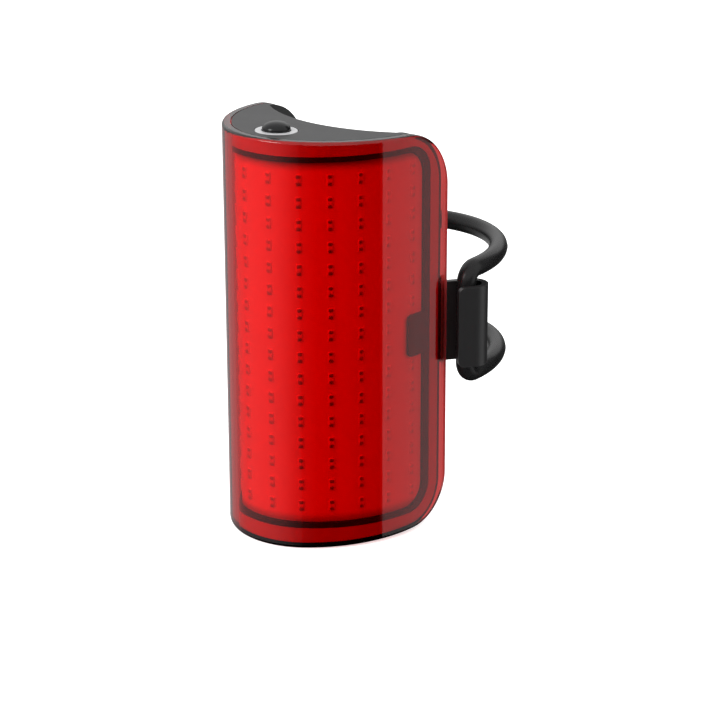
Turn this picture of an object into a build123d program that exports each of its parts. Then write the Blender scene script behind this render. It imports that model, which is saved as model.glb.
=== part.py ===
"""Rechargeable rear bicycle light with an elastic seat post strap.

Millimetres, +Z up, the lens faces -Y. The origin lies on the seat post's axis, at the
light's mid height. Depths are measured from the body's outline inwards, along its normal.
"""

from build123d import *
import math
import os

os.makedirs("parts", exist_ok=True)

# Body outline seen from above: a nose arc, then a side arc and a straight horn on each side.
# Its two ends fall by END_SLOPE degrees from the nose to the back.
BODY_HEIGHT = 90.0
BODY_DEPTH = 37.2
END_SLOPE = 1.85
NOSE_R = 18.1
NOSE_TURN = 36.6
SIDE_R = 29.0
SIDE_TURN = 52.7
TOP_CORNER_R = 12.8
LOW_CORNER_R = 10.7
GROOVE_R = 30.4
NOSE_TO_GROOVE = 19.0

# Shells
LENS_WALL = 1.8
LENS_EDGE_R = 0.7
LENS_LIP = 1.3
BOND_GAP = 0.25
BOND_INSET = 0.9
POCKET = 0.9
SKIN = 1.15
END_WALL = 1.8
SEAL_LEDGE = 1.8
SEAL_T = 0.6
BACK_WALL = 2.2
FIT_GAP = 0.1
TOUCH_GAP = 0.05
CAVITY_WIDTH = 29.0

# Lit panel
PANEL_REACH = 30.6
PANEL_END_GAP = 5.15
PANEL_RAISE = 0.4
PANEL_CORNER_R = 5.0
BEZEL_SIDE = 1.7
BEZEL_END = 1.1
TAB_LENGTH = 4.9
TAB_HEIGHT = 9.4
TAB_CORNER_R = 1.2
TAB_T = 0.4
BOARD_T = 0.3
CHIP_T = 0.25
CHIP_WIDTH = 1.2
CHIP_HEIGHT = 2.5
CHIP_COLUMNS = 12
CHIP_ROWS = 16
COLUMN_PITCH = 6.4
CHIPS_END_GAP = 6.6

# Button and light ring
BUTTON_BACK = 8.4
DOME_R = 3.0
DOME_RISE = 1.6
DOME_SIDE = 0.35
RING_R = 4.5
RING_HEIGHT = 2.2
RING_PROUD = 0.05
RING_GAP = 0.15
LEG_T = 0.7
LEG_WIDTH = 1.6
FLANGE_R = 3.45
FLANGE_T = 0.7
STEM_R = 1.3
BUTTON_TRAVEL = 0.5
CHIMNEY_WALL = 1.1
WASHER_T = 1.0
SWITCH_SIDE = 6.0
SWITCH_HEIGHT = 3.0
PLUNGER_R = 1.6
PLUNGER_RISE = 0.8
RING_LED_T = 0.6
RING_LED_WIDTH = 0.8

# Boards and cell
BOARD_THICK = 1.0
BUTTON_BOARD_WIDTH = 12.4
BUTTON_BOARD_LENGTH = 8.0
SHELF_T = 1.4
SHELF_WIDTH = 10.0
MAIN_BOARD_WIDTH = 15.2
MAIN_BOARD_END_GAP = 2.8
MAIN_BOARD_DEPTH = 6.8
STANDOFF_R = 1.5
STAKE_R = 0.8
STAKE_RISE = 0.5
STAKE_X = 5.2
STAKE_Z = 24.0
PIN_WIDTH = 0.5
PIN_PITCH = 1.27
PIN_COUNT = 4
PIN_OVERLAP = 4.0
PIN_X = -3.5
CELL_WIDTH = 18.6
CELL_TOP_GAP = 4.9
CELL_PORT_GAP = 7.0
CELL_T = 7.0
CELL_CORNER_R = 1.2
FOAM_T = 1.2
FOAM_WIDTH = 12.0
FOAM_LENGTH = 30.0
LEAD_R = 0.45
LEAD_BEND_R = 1.2
LEAD_RISE = 2.6
LEAD_SPACING = 1.8
LEAD_X = 3.4
SOCKET_WIDTH = 4.6
SOCKET_HEIGHT = 3.0
SOCKET_T = 1.8
RIBBON_WIDTH = 6.0
RIBBON_T = 0.2
RIBBON_PORT_GAP = 1.0
RIBBON_BEND_R = 1.0
RIBBON_DROP = 2.5
RIBBON_SOCKET_WIDTH = 7.6
RIBBON_SOCKET_HEIGHT = 2.6
RIBBON_SOCKET_T = 1.0

# Parts on the main board: width, height and rise of each
CONTROLLER_WIDTH = 6.0
CONTROLLER_T = 0.9
CONTROLLER_Z = 6.0
DRIVER_WIDTH = 4.0
DRIVER_T = 0.8
DRIVER_Z = -8.0
SENSOR_WIDTH = 2.0
SENSOR_HEIGHT = 1.2
SENSOR_Z = 16.0
CHARGER_WIDTH = 4.0
CHARGER_HEIGHT = 3.6
CHARGER_T = 1.6
CHARGER_PORT_GAP = 4.3
COIL_WIDTH = 3.0
COIL_HEIGHT = 2.0
COIL_T = 1.0
COIL_X = 3.0
COIL_END_GAP = 2.2

# Charging port, low on the back
PORT_END_GAP = 10.2
PORT_WIDTH = 9.0
PORT_THICK = 3.2
PORT_SHELL = 0.3
PORT_RECESS = 0.3
TONGUE_WIDTH = 6.6
TONGUE_T = 0.7
TONGUE_SHORT = 1.0
FLAP_WIDTH = 13.4
FLAP_LENGTH = 8.2
FLAP_T = 1.2
FLAP_CORNER_R = 1.5
FLAP_PLUG = 0.8
PLUG_GAP = 0.3
NAIL_ROOM = 1.6
ROOT_WIDTH = 9.0
ROOT_HEIGHT = 2.6
ROOT_GAP = 0.15
PEG_R = 0.9
PEG_HEAD_R = 1.3
PEG_HEAD_T = 0.6

# Seat post, bracket and strap
POST_D = 31.6
NOSE_TO_POST = 49.5
PAD_GAP = 0.1
PAD_T = 2.5
PAD_HALF_ANGLE = 59.0
CRADLE_HALF_ANGLE = 62.0
CRADLE_T = 2.0
WEB_T = 1.6
WEB_X = 8.5
BRACKET_HEIGHT = 19.0
ARM_T = 1.6
ARM_GAP = 0.4
ARM_ROOT_BACK = 12.0
FOOT_HEIGHT = 31.0
FOOT_T = 2.4
FOOT_GAP = 0.2
HOOK_X = 24.35
HOOK_TO_POST = 8.3
HOOK_HEIGHT = 17.9
HOOK_WALL = 1.35
HOOK_TURN_R = 1.4
HOOK_HEADING = 57.4
HOOK_ROOM = 1.2
HOOK_LIP = 3.9
HOOK_CORNER_R = 1.5
CORD_R = 2.15
CORD_GAP = 0.1
CORD_BEND_R = 3.0
CORD_RISE = 11.85
CORD_LEAN = 4.7
LOOP_STRETCH = 1.11

# Screws and inserts
HEAD_T = 0.9
DRIVE_R = 0.6
DRIVE_DEPTH = 0.5
THREAD_GAP = 0.05
HOLE_GAP = 0.15
COVER_SCREW_X = 10.0
COVER_SCREW_END_GAP = 5.0
COVER_SCREW_R = 1.0
COVER_HEAD_R = 1.8
COVER_SCREW_LENGTH = 5.0
COVER_PAD_T = 1.7
COVER_BOSS_R = 2.0
BRACKET_SCREW_SIDE_GAP = 2.5
BRACKET_SCREW_Z = 12.4
BRACKET_SCREW_R = 1.0
BRACKET_HEAD_R = 1.9
BRACKET_SCREW_LENGTH = 4.8
INSERT_R = 1.5
INSERT_LENGTH = 3.0
BOSS_WALL = 0.8

# Derived places
HALF_H = BODY_HEIGHT / 2
FRONT_Y = -NOSE_TO_POST
RIM = LENS_WALL + BOND_GAP
BOARD_BED = RIM + POCKET
SKIN_IN = BOARD_BED + SKIN
BOARD_TOP = BOARD_BED - TOUCH_GAP - BOARD_T
GROOVE_Y = FRONT_Y + NOSE_TO_GROOVE + GROOVE_R
COVER_R = GROOVE_R + BACK_WALL
LEDGE_R = COVER_R + SEAL_T
SLOPE = math.tan(math.radians(END_SLOPE))
INNER_H = HALF_H - SLOPE * BODY_DEPTH - END_WALL
CAVITY_H = INNER_H - SEAL_LEDGE
WIDE = 3 * NOSE_R
LENS_BACK = FRONT_Y + BODY_DEPTH
PANEL_BACK = FRONT_Y + PANEL_REACH
PANEL_HALF = HALF_H - PANEL_END_GAP
ROW_PITCH = 2 * (HALF_H - CHIPS_END_GAP) / CHIP_ROWS
PORT_Z = PORT_END_GAP - CAVITY_H
RIBBON_Z = PORT_Z - RIBBON_PORT_GAP
COVER_SCREW_Z = INNER_H - COVER_SCREW_END_GAP
BRACKET_SCREW_X = CAVITY_WIDTH / 2 - BRACKET_SCREW_SIDE_GAP
BUTTON_Y = FRONT_Y + BUTTON_BACK
BUTTON_H = HALF_H - SLOPE * BUTTON_BACK

RING_SEAT = BUTTON_H + RING_PROUD - RING_HEIGHT
BORE_R = FLANGE_R + RING_GAP
FLANGE_TOP = RING_SEAT - TOUCH_GAP
FLANGE_LOW = FLANGE_TOP - FLANGE_T
WASHER_TOP = FLANGE_LOW - BUTTON_TRAVEL - FIT_GAP
CHIMNEY_FLOOR = WASHER_TOP - WASHER_T
CHIMNEY_LOW = CHIMNEY_FLOOR - CHIMNEY_WALL
STEM_LOW = CHIMNEY_LOW - 2 * FIT_GAP
PLUNGER_TOP = STEM_LOW - TOUCH_GAP
SWITCH_TOP = PLUNGER_TOP - PLUNGER_RISE
BUTTON_BOARD_TOP = SWITCH_TOP - SWITCH_HEIGHT
SHELF_TOP = BUTTON_BOARD_TOP - BOARD_THICK
MAIN_BOARD_TOP = SHELF_TOP - SHELF_T - FIT_GAP
MAIN_BOARD_LOW = MAIN_BOARD_END_GAP - CAVITY_H
MAIN_BOARD_LENGTH = MAIN_BOARD_TOP - MAIN_BOARD_LOW
MAIN_BOARD_FRONT = FRONT_Y + MAIN_BOARD_DEPTH
MAIN_BOARD_BACK = MAIN_BOARD_FRONT + BOARD_THICK
CELL_FRONT = MAIN_BOARD_BACK + FOAM_T
CELL_TOP = MAIN_BOARD_TOP - CELL_TOP_GAP
CELL_LOW = PORT_Z + CELL_PORT_GAP
CELL_CENTRE_Z = (CELL_TOP + CELL_LOW) / 2

POST_R = POST_D / 2
PAD_IN = POST_R + PAD_GAP
PAD_OUT = PAD_IN + PAD_T
FOOT_R = GROOVE_R - FOOT_GAP
HOOK_Y = -HOOK_TO_POST
HORN_ANGLE = math.radians(NOSE_TURN + SIDE_TURN)
HORN_WAY = Vector(math.cos(HORN_ANGLE), math.sin(HORN_ANGLE))
HORN_OUT = Vector(math.sin(HORN_ANGLE), -math.cos(HORN_ANGLE))
HOOK_ANGLE = math.radians(HOOK_HEADING)
HOOK_WAY = Vector(math.cos(HOOK_ANGLE), math.sin(HOOK_ANGLE))
HOOK_SIDE = Vector(math.sin(HOOK_ANGLE), -math.cos(HOOK_ANGLE))
HOOK_BORE = CORD_R + CORD_GAP
HOOK_CENTRE = Vector(HOOK_X, HOOK_Y) + HOOK_WAY * HOOK_ROOM


def outline(depth):
    """Right half of the body's outline, from nose to horn, moved in by a depth."""
    nose = JernArc((0, FRONT_Y + depth), (1, 0), NOSE_R - depth, NOSE_TURN)
    side = JernArc(nose @ 1, nose % 1, SIDE_R - depth, SIDE_TURN)
    horn = Line(side @ 1, side @ 1 + (side % 1) * BODY_DEPTH)
    return nose, horn


def filled_plan(depth):
    """Plan of everything inside the outline at a depth."""
    with BuildSketch() as plan:
        with BuildLine():
            nose, horn = outline(depth)
            Polyline(horn @ 1, (0, (horn @ 1).Y), nose @ 0)
        make_face()
        mirror(about=Plane.YZ)
    return plan.sketch


def groove_plan(depth, radius, inner_radius=0):
    """Plan between the horns, behind an arc about the groove's centre."""
    with BuildSketch() as plan:
        add(filled_plan(depth))
        with Locations((0, GROOVE_Y)):
            Circle(radius, mode=Mode.INTERSECT)
            if inner_radius:
                Circle(inner_radius, mode=Mode.SUBTRACT)
    return plan.sketch


def side_block(back, half_height, back_r=(0, 0), front=FRONT_Y - 1, front_r=0, slope=0,
               raised=0):
    """Block across the body, cut to a side view; back_r rounds its top and low back corners."""
    front_h = half_height - slope * (front - FRONT_Y)
    back_h = half_height - slope * (back - FRONT_Y)
    with BuildPart() as block:
        with BuildSketch(Plane.YZ) as view:
            with BuildLine():
                Polyline((front, raised - front_h), (back, raised - back_h),
                         (back, raised + back_h), (front, raised + front_h), close=True)
            make_face()
            for radius, corner in zip(back_r, (-1, 0)):
                if radius:
                    ends = view.vertices().group_by(Axis.X)[-1].sort_by(Axis.Y)
                    fillet(ends[corner], radius)
            if front_r:
                fillet(view.vertices().group_by(Axis.X)[0], front_r)
        extrude(amount=WIDE, both=True)
    return block.part


def wall_band(outer, inner, block):
    """Curved wall between two depths, trimmed to a side view."""
    with BuildPart() as band:
        with BuildSketch():
            add(filled_plan(outer))
            add(filled_plan(inner), mode=Mode.SUBTRACT)
        extrude(amount=BODY_HEIGHT, both=True)
        add(block, mode=Mode.INTERSECT)
    return band.part


def outline_plane(arc_length, depth, height):
    """Plane that faces outwards at a length along the outline at a depth, from the nose."""
    nose_turn = math.radians(NOSE_TURN)
    nose_length = (NOSE_R - depth) * nose_turn
    side_length = (SIDE_R - depth) * math.radians(SIDE_TURN)
    beyond = max(0, abs(arc_length) - nose_length - side_length)
    centre = Vector(0, FRONT_Y + NOSE_R)
    radius = NOSE_R
    turn = abs(arc_length) / (NOSE_R - depth)
    if abs(arc_length) > nose_length:
        nose_out = Vector(math.sin(nose_turn), -math.cos(nose_turn))
        centre += nose_out * (NOSE_R - SIDE_R)
        radius = SIDE_R
        turn = nose_turn + (abs(arc_length) - beyond - nose_length) / (SIDE_R - depth)
    out = Vector(math.sin(turn), -math.cos(turn))
    point = centre + out * (radius - depth) + HORN_WAY * beyond
    side = math.copysign(1, arc_length)
    return Plane(
        origin=(side * point.X, point.Y, height),
        x_dir=(-out.Y, side * out.X, 0),
        z_dir=(side * out.X, out.Y, 0),
    )


def horn_point(depth, y):
    """Point of a horn's straight face at a depth and a distance along Y."""
    nose_turn = math.radians(NOSE_TURN)
    nose_out = Vector(math.sin(nose_turn), -math.cos(nose_turn))
    start = Vector(0, FRONT_Y + NOSE_R) + nose_out * (NOSE_R - SIDE_R)
    start += HORN_OUT * (SIDE_R - depth)
    return start + HORN_WAY * ((y - start.Y) / HORN_WAY.Y)


def groove_point(x, radius=GROOVE_R):
    """Y of an arc about the groove's centre at a distance from the mid plane."""
    return GROOVE_Y - math.sqrt(radius**2 - x**2)


def across(y):
    """Plane across the light whose sketch is in X and Z; its normal points forwards."""
    return Plane.XZ.offset(-y)


def mirrored(x, z):
    """Four places, left and right, above and below."""
    return [(i * x, j * z) for i in (-1, 1) for j in (-1, 1)]


def screws(places, seat, shank_r, head_r, length):
    """Pan head screws along Y, their heads seated on one plane."""
    with BuildPart() as group:
        with BuildSketch(across(seat)):
            with Locations(*places):
                Circle(head_r)
        extrude(amount=-HEAD_T)
        fillet(group.edges().group_by(Axis.Y)[-1], HEAD_T / 3)
        with BuildSketch(across(seat)):
            with Locations(*places):
                Circle(shank_r)
        extrude(amount=length)
        chamfer(group.edges().group_by(Axis.Y)[0], shank_r / 4)
        with BuildSketch(across(seat + HEAD_T)):
            with Locations(*places):
                RegularPolygon(DRIVE_R, 6)
        extrude(amount=DRIVE_DEPTH, mode=Mode.SUBTRACT)
    return group


def post_arc(inner_r, outer_r, half_angle):
    """Plan of an arc band in front of the post, about the post's axis."""
    with BuildSketch() as plan:
        with BuildLine():
            inner = CenterArc((0, 0), inner_r, -90 - half_angle, 2 * half_angle)
            outer = CenterArc((0, 0), outer_r, -90 - half_angle, 2 * half_angle)
            Line(inner @ 0, outer @ 0)
            Line(inner @ 1, outer @ 1)
        make_face()
    return plan.sketch


def save(builder, name):
    """Label a finished piece and write it."""
    builder.part.label = name
    export_step(builder.part, f"parts/{name}.step")


# Lens cover: one translucent wall round the front and both sides
lens_view = side_block(LENS_BACK, HALF_H, (TOP_CORNER_R, LOW_CORNER_R), slope=SLOPE)
lens_blank = wall_band(0, LENS_WALL, lens_view)
lens_border = filled_plan(0).wire()


def on_lens_rim(edge):
    """True for an edge of the lens's outer face that isn't a seam between its arcs."""
    at_border = all(
        lens_border.distance_to(Vector((edge @ t).X, (edge @ t).Y)) < TOUCH_GAP
        for t in (0.2, 0.5)
    )
    seam = abs((edge % 0.5).Z) > 0.99 and (edge @ 0.5).Y < LENS_BACK - LENS_EDGE_R
    return at_border and not seam


with BuildPart() as lens_cover:
    add(lens_blank)
    fillet(lens_cover.edges().filter_by(on_lens_rim), LENS_EDGE_R)
save(lens_cover, "lens_cover")

# Main housing: nose skin, horns, top and bottom in one moulding, open at the back
bezel_corners = (PANEL_CORNER_R + BEZEL_END, PANEL_CORNER_R + BEZEL_END)
pocket_view = side_block(
    PANEL_BACK + BEZEL_SIDE + FIT_GAP,
    PANEL_HALF + BEZEL_END + FIT_GAP,
    bezel_corners,
    raised=PANEL_RAISE,
)
led_pocket = wall_band(0, BOARD_BED, pocket_view)
housing_view = side_block(
    LENS_BACK - LENS_LIP,
    HALF_H,
    (TOP_CORNER_R - LENS_LIP, LOW_CORNER_R - LENS_LIP),
    slope=SLOPE,
)
bond_view = side_block(
    LENS_BACK - LENS_LIP - BOND_INSET,
    HALF_H - BOND_INSET,
    (TOP_CORNER_R - LENS_LIP - BOND_INSET, LOW_CORNER_R - LENS_LIP - BOND_INSET),
    slope=SLOPE,
)
stake_places = mirrored(STAKE_X, STAKE_Z)
cover_screw_places = mirrored(COVER_SCREW_X, COVER_SCREW_Z)
cover_seat = groove_point(COVER_SCREW_X - COVER_HEAD_R) - HEAD_T - FIT_GAP
cover_pad = cover_seat - COVER_PAD_T
slot_in = BORE_R - FIT_GAP
slot_out = BORE_R + FIT_GAP + LEG_T + FIT_GAP

with BuildPart() as main_housing:
    with BuildSketch():
        add(filled_plan(RIM))
    extrude(amount=BODY_HEIGHT, both=True)
    add(housing_view, mode=Mode.INTERSECT)
    with BuildSketch():
        add(groove_plan(SKIN_IN, GROOVE_R))
    extrude(amount=BODY_HEIGHT, both=True, mode=Mode.SUBTRACT)
    with BuildSketch():
        add(groove_plan(SKIN_IN, LEDGE_R))
    extrude(amount=INNER_H, both=True, mode=Mode.SUBTRACT)
    with BuildSketch():
        add(filled_plan(SKIN_IN))
        with Locations((0, FRONT_Y + NOSE_R)):
            Rectangle(CAVITY_WIDTH, 2 * NOSE_R, mode=Mode.INTERSECT)
    extrude(amount=CAVITY_H, both=True, mode=Mode.SUBTRACT)
    # bosses of the cover screws and standoffs of the main board
    with BuildSketch(across(cover_pad - TOUCH_GAP)):
        with Locations(*cover_screw_places):
            Circle(COVER_BOSS_R)
    extrude(until=Until.NEXT)
    with BuildSketch(across(MAIN_BOARD_FRONT)):
        with Locations(*stake_places):
            Circle(STANDOFF_R)
    extrude(until=Until.NEXT)
    with BuildSketch(across(MAIN_BOARD_BACK + STAKE_RISE)):
        with Locations(*stake_places):
            Circle(STAKE_R)
    extrude(until=Until.NEXT)
    # chimney of the button and shelf of the button board
    with BuildSketch(Plane.XY.offset(CHIMNEY_LOW)):
        with Locations((0, BUTTON_Y)):
            Circle(RING_R + RING_GAP + CHIMNEY_WALL)
    extrude(amount=INNER_H - CHIMNEY_LOW)
    with BuildSketch(Plane.XY.offset(SHELF_TOP - SHELF_T)):
        add(filled_plan(BOARD_BED))
        with Locations((0, FRONT_Y)):
            Rectangle(SHELF_WIDTH, 2 * MAIN_BOARD_DEPTH, mode=Mode.INTERSECT)
    extrude(amount=SHELF_T)
    add(led_pocket, mode=Mode.SUBTRACT)
    # stepped hole of the ring, the button and its stem, with slots for the ring's legs
    with BuildSketch(Plane.XY.offset(RING_SEAT)):
        with Locations((0, BUTTON_Y)):
            Circle(RING_R + RING_GAP)
    extrude(amount=2 * RING_HEIGHT, mode=Mode.SUBTRACT)
    with BuildSketch(Plane.XY.offset(CHIMNEY_FLOOR)):
        with Locations((0, BUTTON_Y)):
            Circle(BORE_R)
    extrude(amount=RING_SEAT - CHIMNEY_FLOOR, mode=Mode.SUBTRACT)
    with BuildSketch(Plane.XY.offset(CHIMNEY_LOW)):
        with Locations((0, BUTTON_Y)):
            Circle(STEM_R + HOLE_GAP)
        for side in (-1, 1):
            with Locations((side * (slot_in + slot_out) / 2, BUTTON_Y)):
                Rectangle(slot_out - slot_in, LEG_WIDTH + 2 * FIT_GAP)
    extrude(amount=RING_SEAT - CHIMNEY_LOW, mode=Mode.SUBTRACT)
    # threads of the cover screws
    with BuildSketch(across(cover_pad)):
        with Locations(*cover_screw_places):
            Circle(COVER_SCREW_R + THREAD_GAP)
    extrude(amount=COVER_SCREW_LENGTH - COVER_PAD_T + FIT_GAP, mode=Mode.SUBTRACT)
    # slot for the ribbon of the LED board
    with BuildSketch(across(FRONT_Y + SKIN_IN + SKIN)):
        with Locations((0, RIBBON_Z)):
            Rectangle(RIBBON_WIDTH + 4 * FIT_GAP, RIBBON_T + 4 * FIT_GAP)
    extrude(amount=BOARD_BED, mode=Mode.SUBTRACT)
save(main_housing, "main_housing")

# Lit panel: board, chips in pairs of rows, and the dark bezel with its side tabs
panel_corners = (PANEL_CORNER_R, PANEL_CORNER_R)
panel_view = side_block(PANEL_BACK, PANEL_HALF, panel_corners, raised=PANEL_RAISE)
board_view = side_block(
    PANEL_BACK - FIT_GAP, PANEL_HALF - FIT_GAP, panel_corners, raised=PANEL_RAISE
)
bezel_view = side_block(
    PANEL_BACK + BEZEL_SIDE, PANEL_HALF + BEZEL_END, bezel_corners, raised=PANEL_RAISE
)
tab_view = side_block(
    PANEL_BACK + BEZEL_SIDE / 2,
    TAB_HEIGHT / 2,
    front=PANEL_BACK - TAB_LENGTH,
    front_r=TAB_CORNER_R,
)
bezel_top = LENS_WALL + FIT_GAP
bezel_blank = wall_band(bezel_top, BOARD_BED - TOUCH_GAP, bezel_view)
bezel_window = wall_band(0, SKIN_IN, panel_view)
bezel_tabs = wall_band(bezel_top, bezel_top + TAB_T, tab_view)

with BuildPart() as panel_bezel:
    add(bezel_blank)
    add(bezel_window, mode=Mode.SUBTRACT)
    add(bezel_tabs)
save(panel_bezel, "panel_bezel")

# Red film that bonds the lens to the housing all round the bezel
with BuildPart() as lens_bond:
    add(wall_band(LENS_WALL + TOUCH_GAP, RIM - TOUCH_GAP, bond_view))
    add(pocket_view, mode=Mode.SUBTRACT)
save(lens_bond, "lens_bond")

board_blank = wall_band(BOARD_TOP, BOARD_TOP + BOARD_T, board_view)
with BuildPart() as led_board:
    add(board_blank)
save(led_board, "led_board")

with BuildPart() as led_chips:
    for column in range(CHIP_COLUMNS):
        arc_length = (column - (CHIP_COLUMNS - 1) / 2) * COLUMN_PITCH
        with BuildSketch(outline_plane(arc_length, BOARD_TOP, PANEL_RAISE)):
            with GridLocations(CHIP_WIDTH, ROW_PITCH, 1, CHIP_ROWS):
                Rectangle(CHIP_WIDTH, CHIP_HEIGHT)
    extrude(amount=CHIP_T)
save(led_chips, "led_chips")

# Back cover: concave plate between the horns, with pads, insert bosses and the port
insert_rear = groove_point(BRACKET_SCREW_X - INSERT_R)
insert_front = insert_rear - INSERT_LENGTH
insert_places = mirrored(BRACKET_SCREW_X, BRACKET_SCREW_Z)
flap_rear = groove_point(0)
flap_front = flap_rear - FLAP_T
flap_floor = flap_front - FIT_GAP
flap_hinge_y = flap_rear - FLAP_T / 2
flap_hinge_z = PORT_Z + FLAP_LENGTH / 2
pocket_top = flap_hinge_z + ROOT_GAP + FLAP_T / 2 + ROOT_HEIGHT + FIT_GAP
pocket_low = PORT_Z - FLAP_LENGTH / 2 - NAIL_ROOM
peg_z = pocket_top - FIT_GAP - ROOT_HEIGHT / 2

with BuildPart() as back_cover:
    with BuildSketch():
        add(groove_plan(SKIN_IN + FIT_GAP, COVER_R))
    extrude(amount=INNER_H - FIT_GAP, both=True)
    with BuildSketch(across(GROOVE_Y)):
        with Locations(*cover_screw_places):
            Circle(COVER_BOSS_R + BOSS_WALL)
    extrude(amount=GROOVE_Y - cover_pad)
    with BuildSketch(across(GROOVE_Y)):
        with Locations(*insert_places):
            Circle(INSERT_R + BOSS_WALL)
    extrude(amount=GROOVE_Y - insert_front + BOSS_WALL)
    with BuildSketch():
        with Locations((0, GROOVE_Y)):
            Circle(GROOVE_R)
    extrude(amount=HALF_H, both=True, mode=Mode.SUBTRACT)
    with BuildSketch(across(cover_seat)):
        with Locations(*cover_screw_places):
            Circle(COVER_HEAD_R + HOLE_GAP)
    extrude(amount=cover_seat - GROOVE_Y, mode=Mode.SUBTRACT)
    with BuildSketch(across(cover_seat)):
        with Locations(*cover_screw_places):
            Circle(COVER_SCREW_R + HOLE_GAP)
    extrude(amount=COVER_PAD_T, mode=Mode.SUBTRACT)
    with BuildSketch(across(insert_front)):
        with Locations(*insert_places):
            Circle(INSERT_R)
    extrude(amount=insert_front - GROOVE_Y, mode=Mode.SUBTRACT)
    # recess of the flap, mouth of the port and hole for the flap's peg
    with BuildSketch(across(flap_floor)) as recess:
        with Locations((0, (pocket_top + pocket_low) / 2)):
            Rectangle(FLAP_WIDTH + 4 * FIT_GAP, pocket_top - pocket_low)
        fillet(recess.vertices(), FLAP_CORNER_R)
    extrude(amount=flap_floor - GROOVE_Y, mode=Mode.SUBTRACT)
    with BuildSketch(across(flap_floor)):
        with Locations((0, PORT_Z)):
            SlotOverall(PORT_WIDTH + 4 * FIT_GAP, PORT_THICK + 4 * FIT_GAP)
        with Locations((0, peg_z)):
            Circle(PEG_R + TOUCH_GAP)
    extrude(amount=BACK_WALL, mode=Mode.SUBTRACT)
save(back_cover, "back_cover")

with BuildPart() as cover_seal:
    with BuildSketch():
        add(groove_plan(SKIN_IN + FIT_GAP, LEDGE_R - TOUCH_GAP, COVER_R + TOUCH_GAP))
    extrude(amount=INNER_H - FIT_GAP, both=True)
    with BuildSketch(across(GROOVE_Y)):
        Rectangle(CAVITY_WIDTH - 4 * FIT_GAP, 2 * (CAVITY_H - 2 * FIT_GAP))
    extrude(amount=WIDE, mode=Mode.SUBTRACT)
save(cover_seal, "cover_seal")

cover_screws = screws(
    cover_screw_places, cover_seat, COVER_SCREW_R, COVER_HEAD_R, COVER_SCREW_LENGTH
)
save(cover_screws, "cover_screws")

# Button, ring, seal and switch
dome_low = BUTTON_H + DOME_SIDE
dome_top = dome_low + DOME_RISE
quarter = 4 / 3 * (math.sqrt(2) - 1)
with BuildPart() as button_cap:
    with BuildSketch(Plane.XZ):
        with BuildLine():
            Polyline((0, STEM_LOW), (STEM_R, STEM_LOW), (STEM_R, FLANGE_LOW),
                     (FLANGE_R, FLANGE_LOW), (FLANGE_R, FLANGE_TOP),
                     (DOME_R, FLANGE_TOP), (DOME_R, dome_low))
            Bezier((DOME_R, dome_low), (DOME_R, dome_low + quarter * DOME_RISE),
                   (quarter * DOME_R, dome_top), (0, dome_top))
            Line((0, dome_top), (0, STEM_LOW))
        make_face()
    revolve(axis=Axis.Z)
button_cap.part.position = (0, BUTTON_Y, 0)
save(button_cap, "button_cap")

with BuildPart() as light_ring:
    with BuildSketch(Plane.XY.offset(RING_SEAT)):
        with Locations((0, BUTTON_Y)):
            Circle(RING_R)
            Circle(DOME_R + RING_GAP, mode=Mode.SUBTRACT)
    extrude(amount=2 * RING_HEIGHT)
    add(side_block(LENS_BACK, HALF_H + RING_PROUD, slope=SLOPE), mode=Mode.INTERSECT)
    ring_top = light_ring.faces().sort_by(Axis.Z)[-1]
    chamfer(ring_top.edges().sort_by(SortBy.LENGTH)[-1], FIT_GAP)
    leg_low = BUTTON_BOARD_TOP + RING_LED_T + 2 * FIT_GAP
    with BuildSketch(Plane.XY.offset(leg_low)):
        for side in (-1, 1):
            with Locations((side * (BORE_R + FIT_GAP + LEG_T / 2), BUTTON_Y)):
                Rectangle(LEG_T, LEG_WIDTH)
    extrude(amount=RING_SEAT - leg_low)
save(light_ring, "light_ring")

with BuildPart() as button_seal:
    with BuildSketch(Plane.XY.offset(CHIMNEY_FLOOR)):
        with Locations((0, BUTTON_Y)):
            Circle(FLANGE_R)
            Circle(STEM_R + TOUCH_GAP, mode=Mode.SUBTRACT)
    extrude(amount=WASHER_T)
save(button_seal, "button_seal")

with BuildPart() as switch_body:
    with BuildSketch(Plane.XY.offset(BUTTON_BOARD_TOP)):
        with Locations((0, BUTTON_Y)):
            Rectangle(SWITCH_SIDE, SWITCH_SIDE)
    extrude(amount=SWITCH_HEIGHT)
    with BuildSketch(Plane.XY.offset(SWITCH_TOP)):
        with Locations((0, BUTTON_Y)):
            Circle(PLUNGER_R + TOUCH_GAP)
    extrude(amount=-2 * BUTTON_TRAVEL, mode=Mode.SUBTRACT)
save(switch_body, "switch_body")

with BuildPart() as switch_plunger:
    with BuildSketch(Plane.XY.offset(PLUNGER_TOP)):
        with Locations((0, BUTTON_Y)):
            Circle(PLUNGER_R)
    extrude(amount=-(PLUNGER_RISE + BUTTON_TRAVEL - FIT_GAP))
    chamfer(switch_plunger.edges().group_by(Axis.Z)[-1], FIT_GAP)
save(switch_plunger, "switch_plunger")

with BuildPart() as button_board:
    with BuildSketch(Plane.XY.offset(SHELF_TOP)):
        with Locations((0, BUTTON_Y)):
            Rectangle(BUTTON_BOARD_WIDTH, BUTTON_BOARD_LENGTH)
        add(filled_plan(SKIN_IN + 2 * FIT_GAP), mode=Mode.INTERSECT)
    extrude(amount=BOARD_THICK)
save(button_board, "button_board")

with BuildPart() as ring_leds:
    with BuildSketch(Plane.XY.offset(BUTTON_BOARD_TOP)):
        for side in (-1, 1):
            with Locations((side * (BORE_R + FIT_GAP + LEG_T / 2), BUTTON_Y)):
                Rectangle(RING_LED_WIDTH, LEG_WIDTH)
    extrude(amount=RING_LED_T)
save(ring_leds, "ring_leds")

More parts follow.
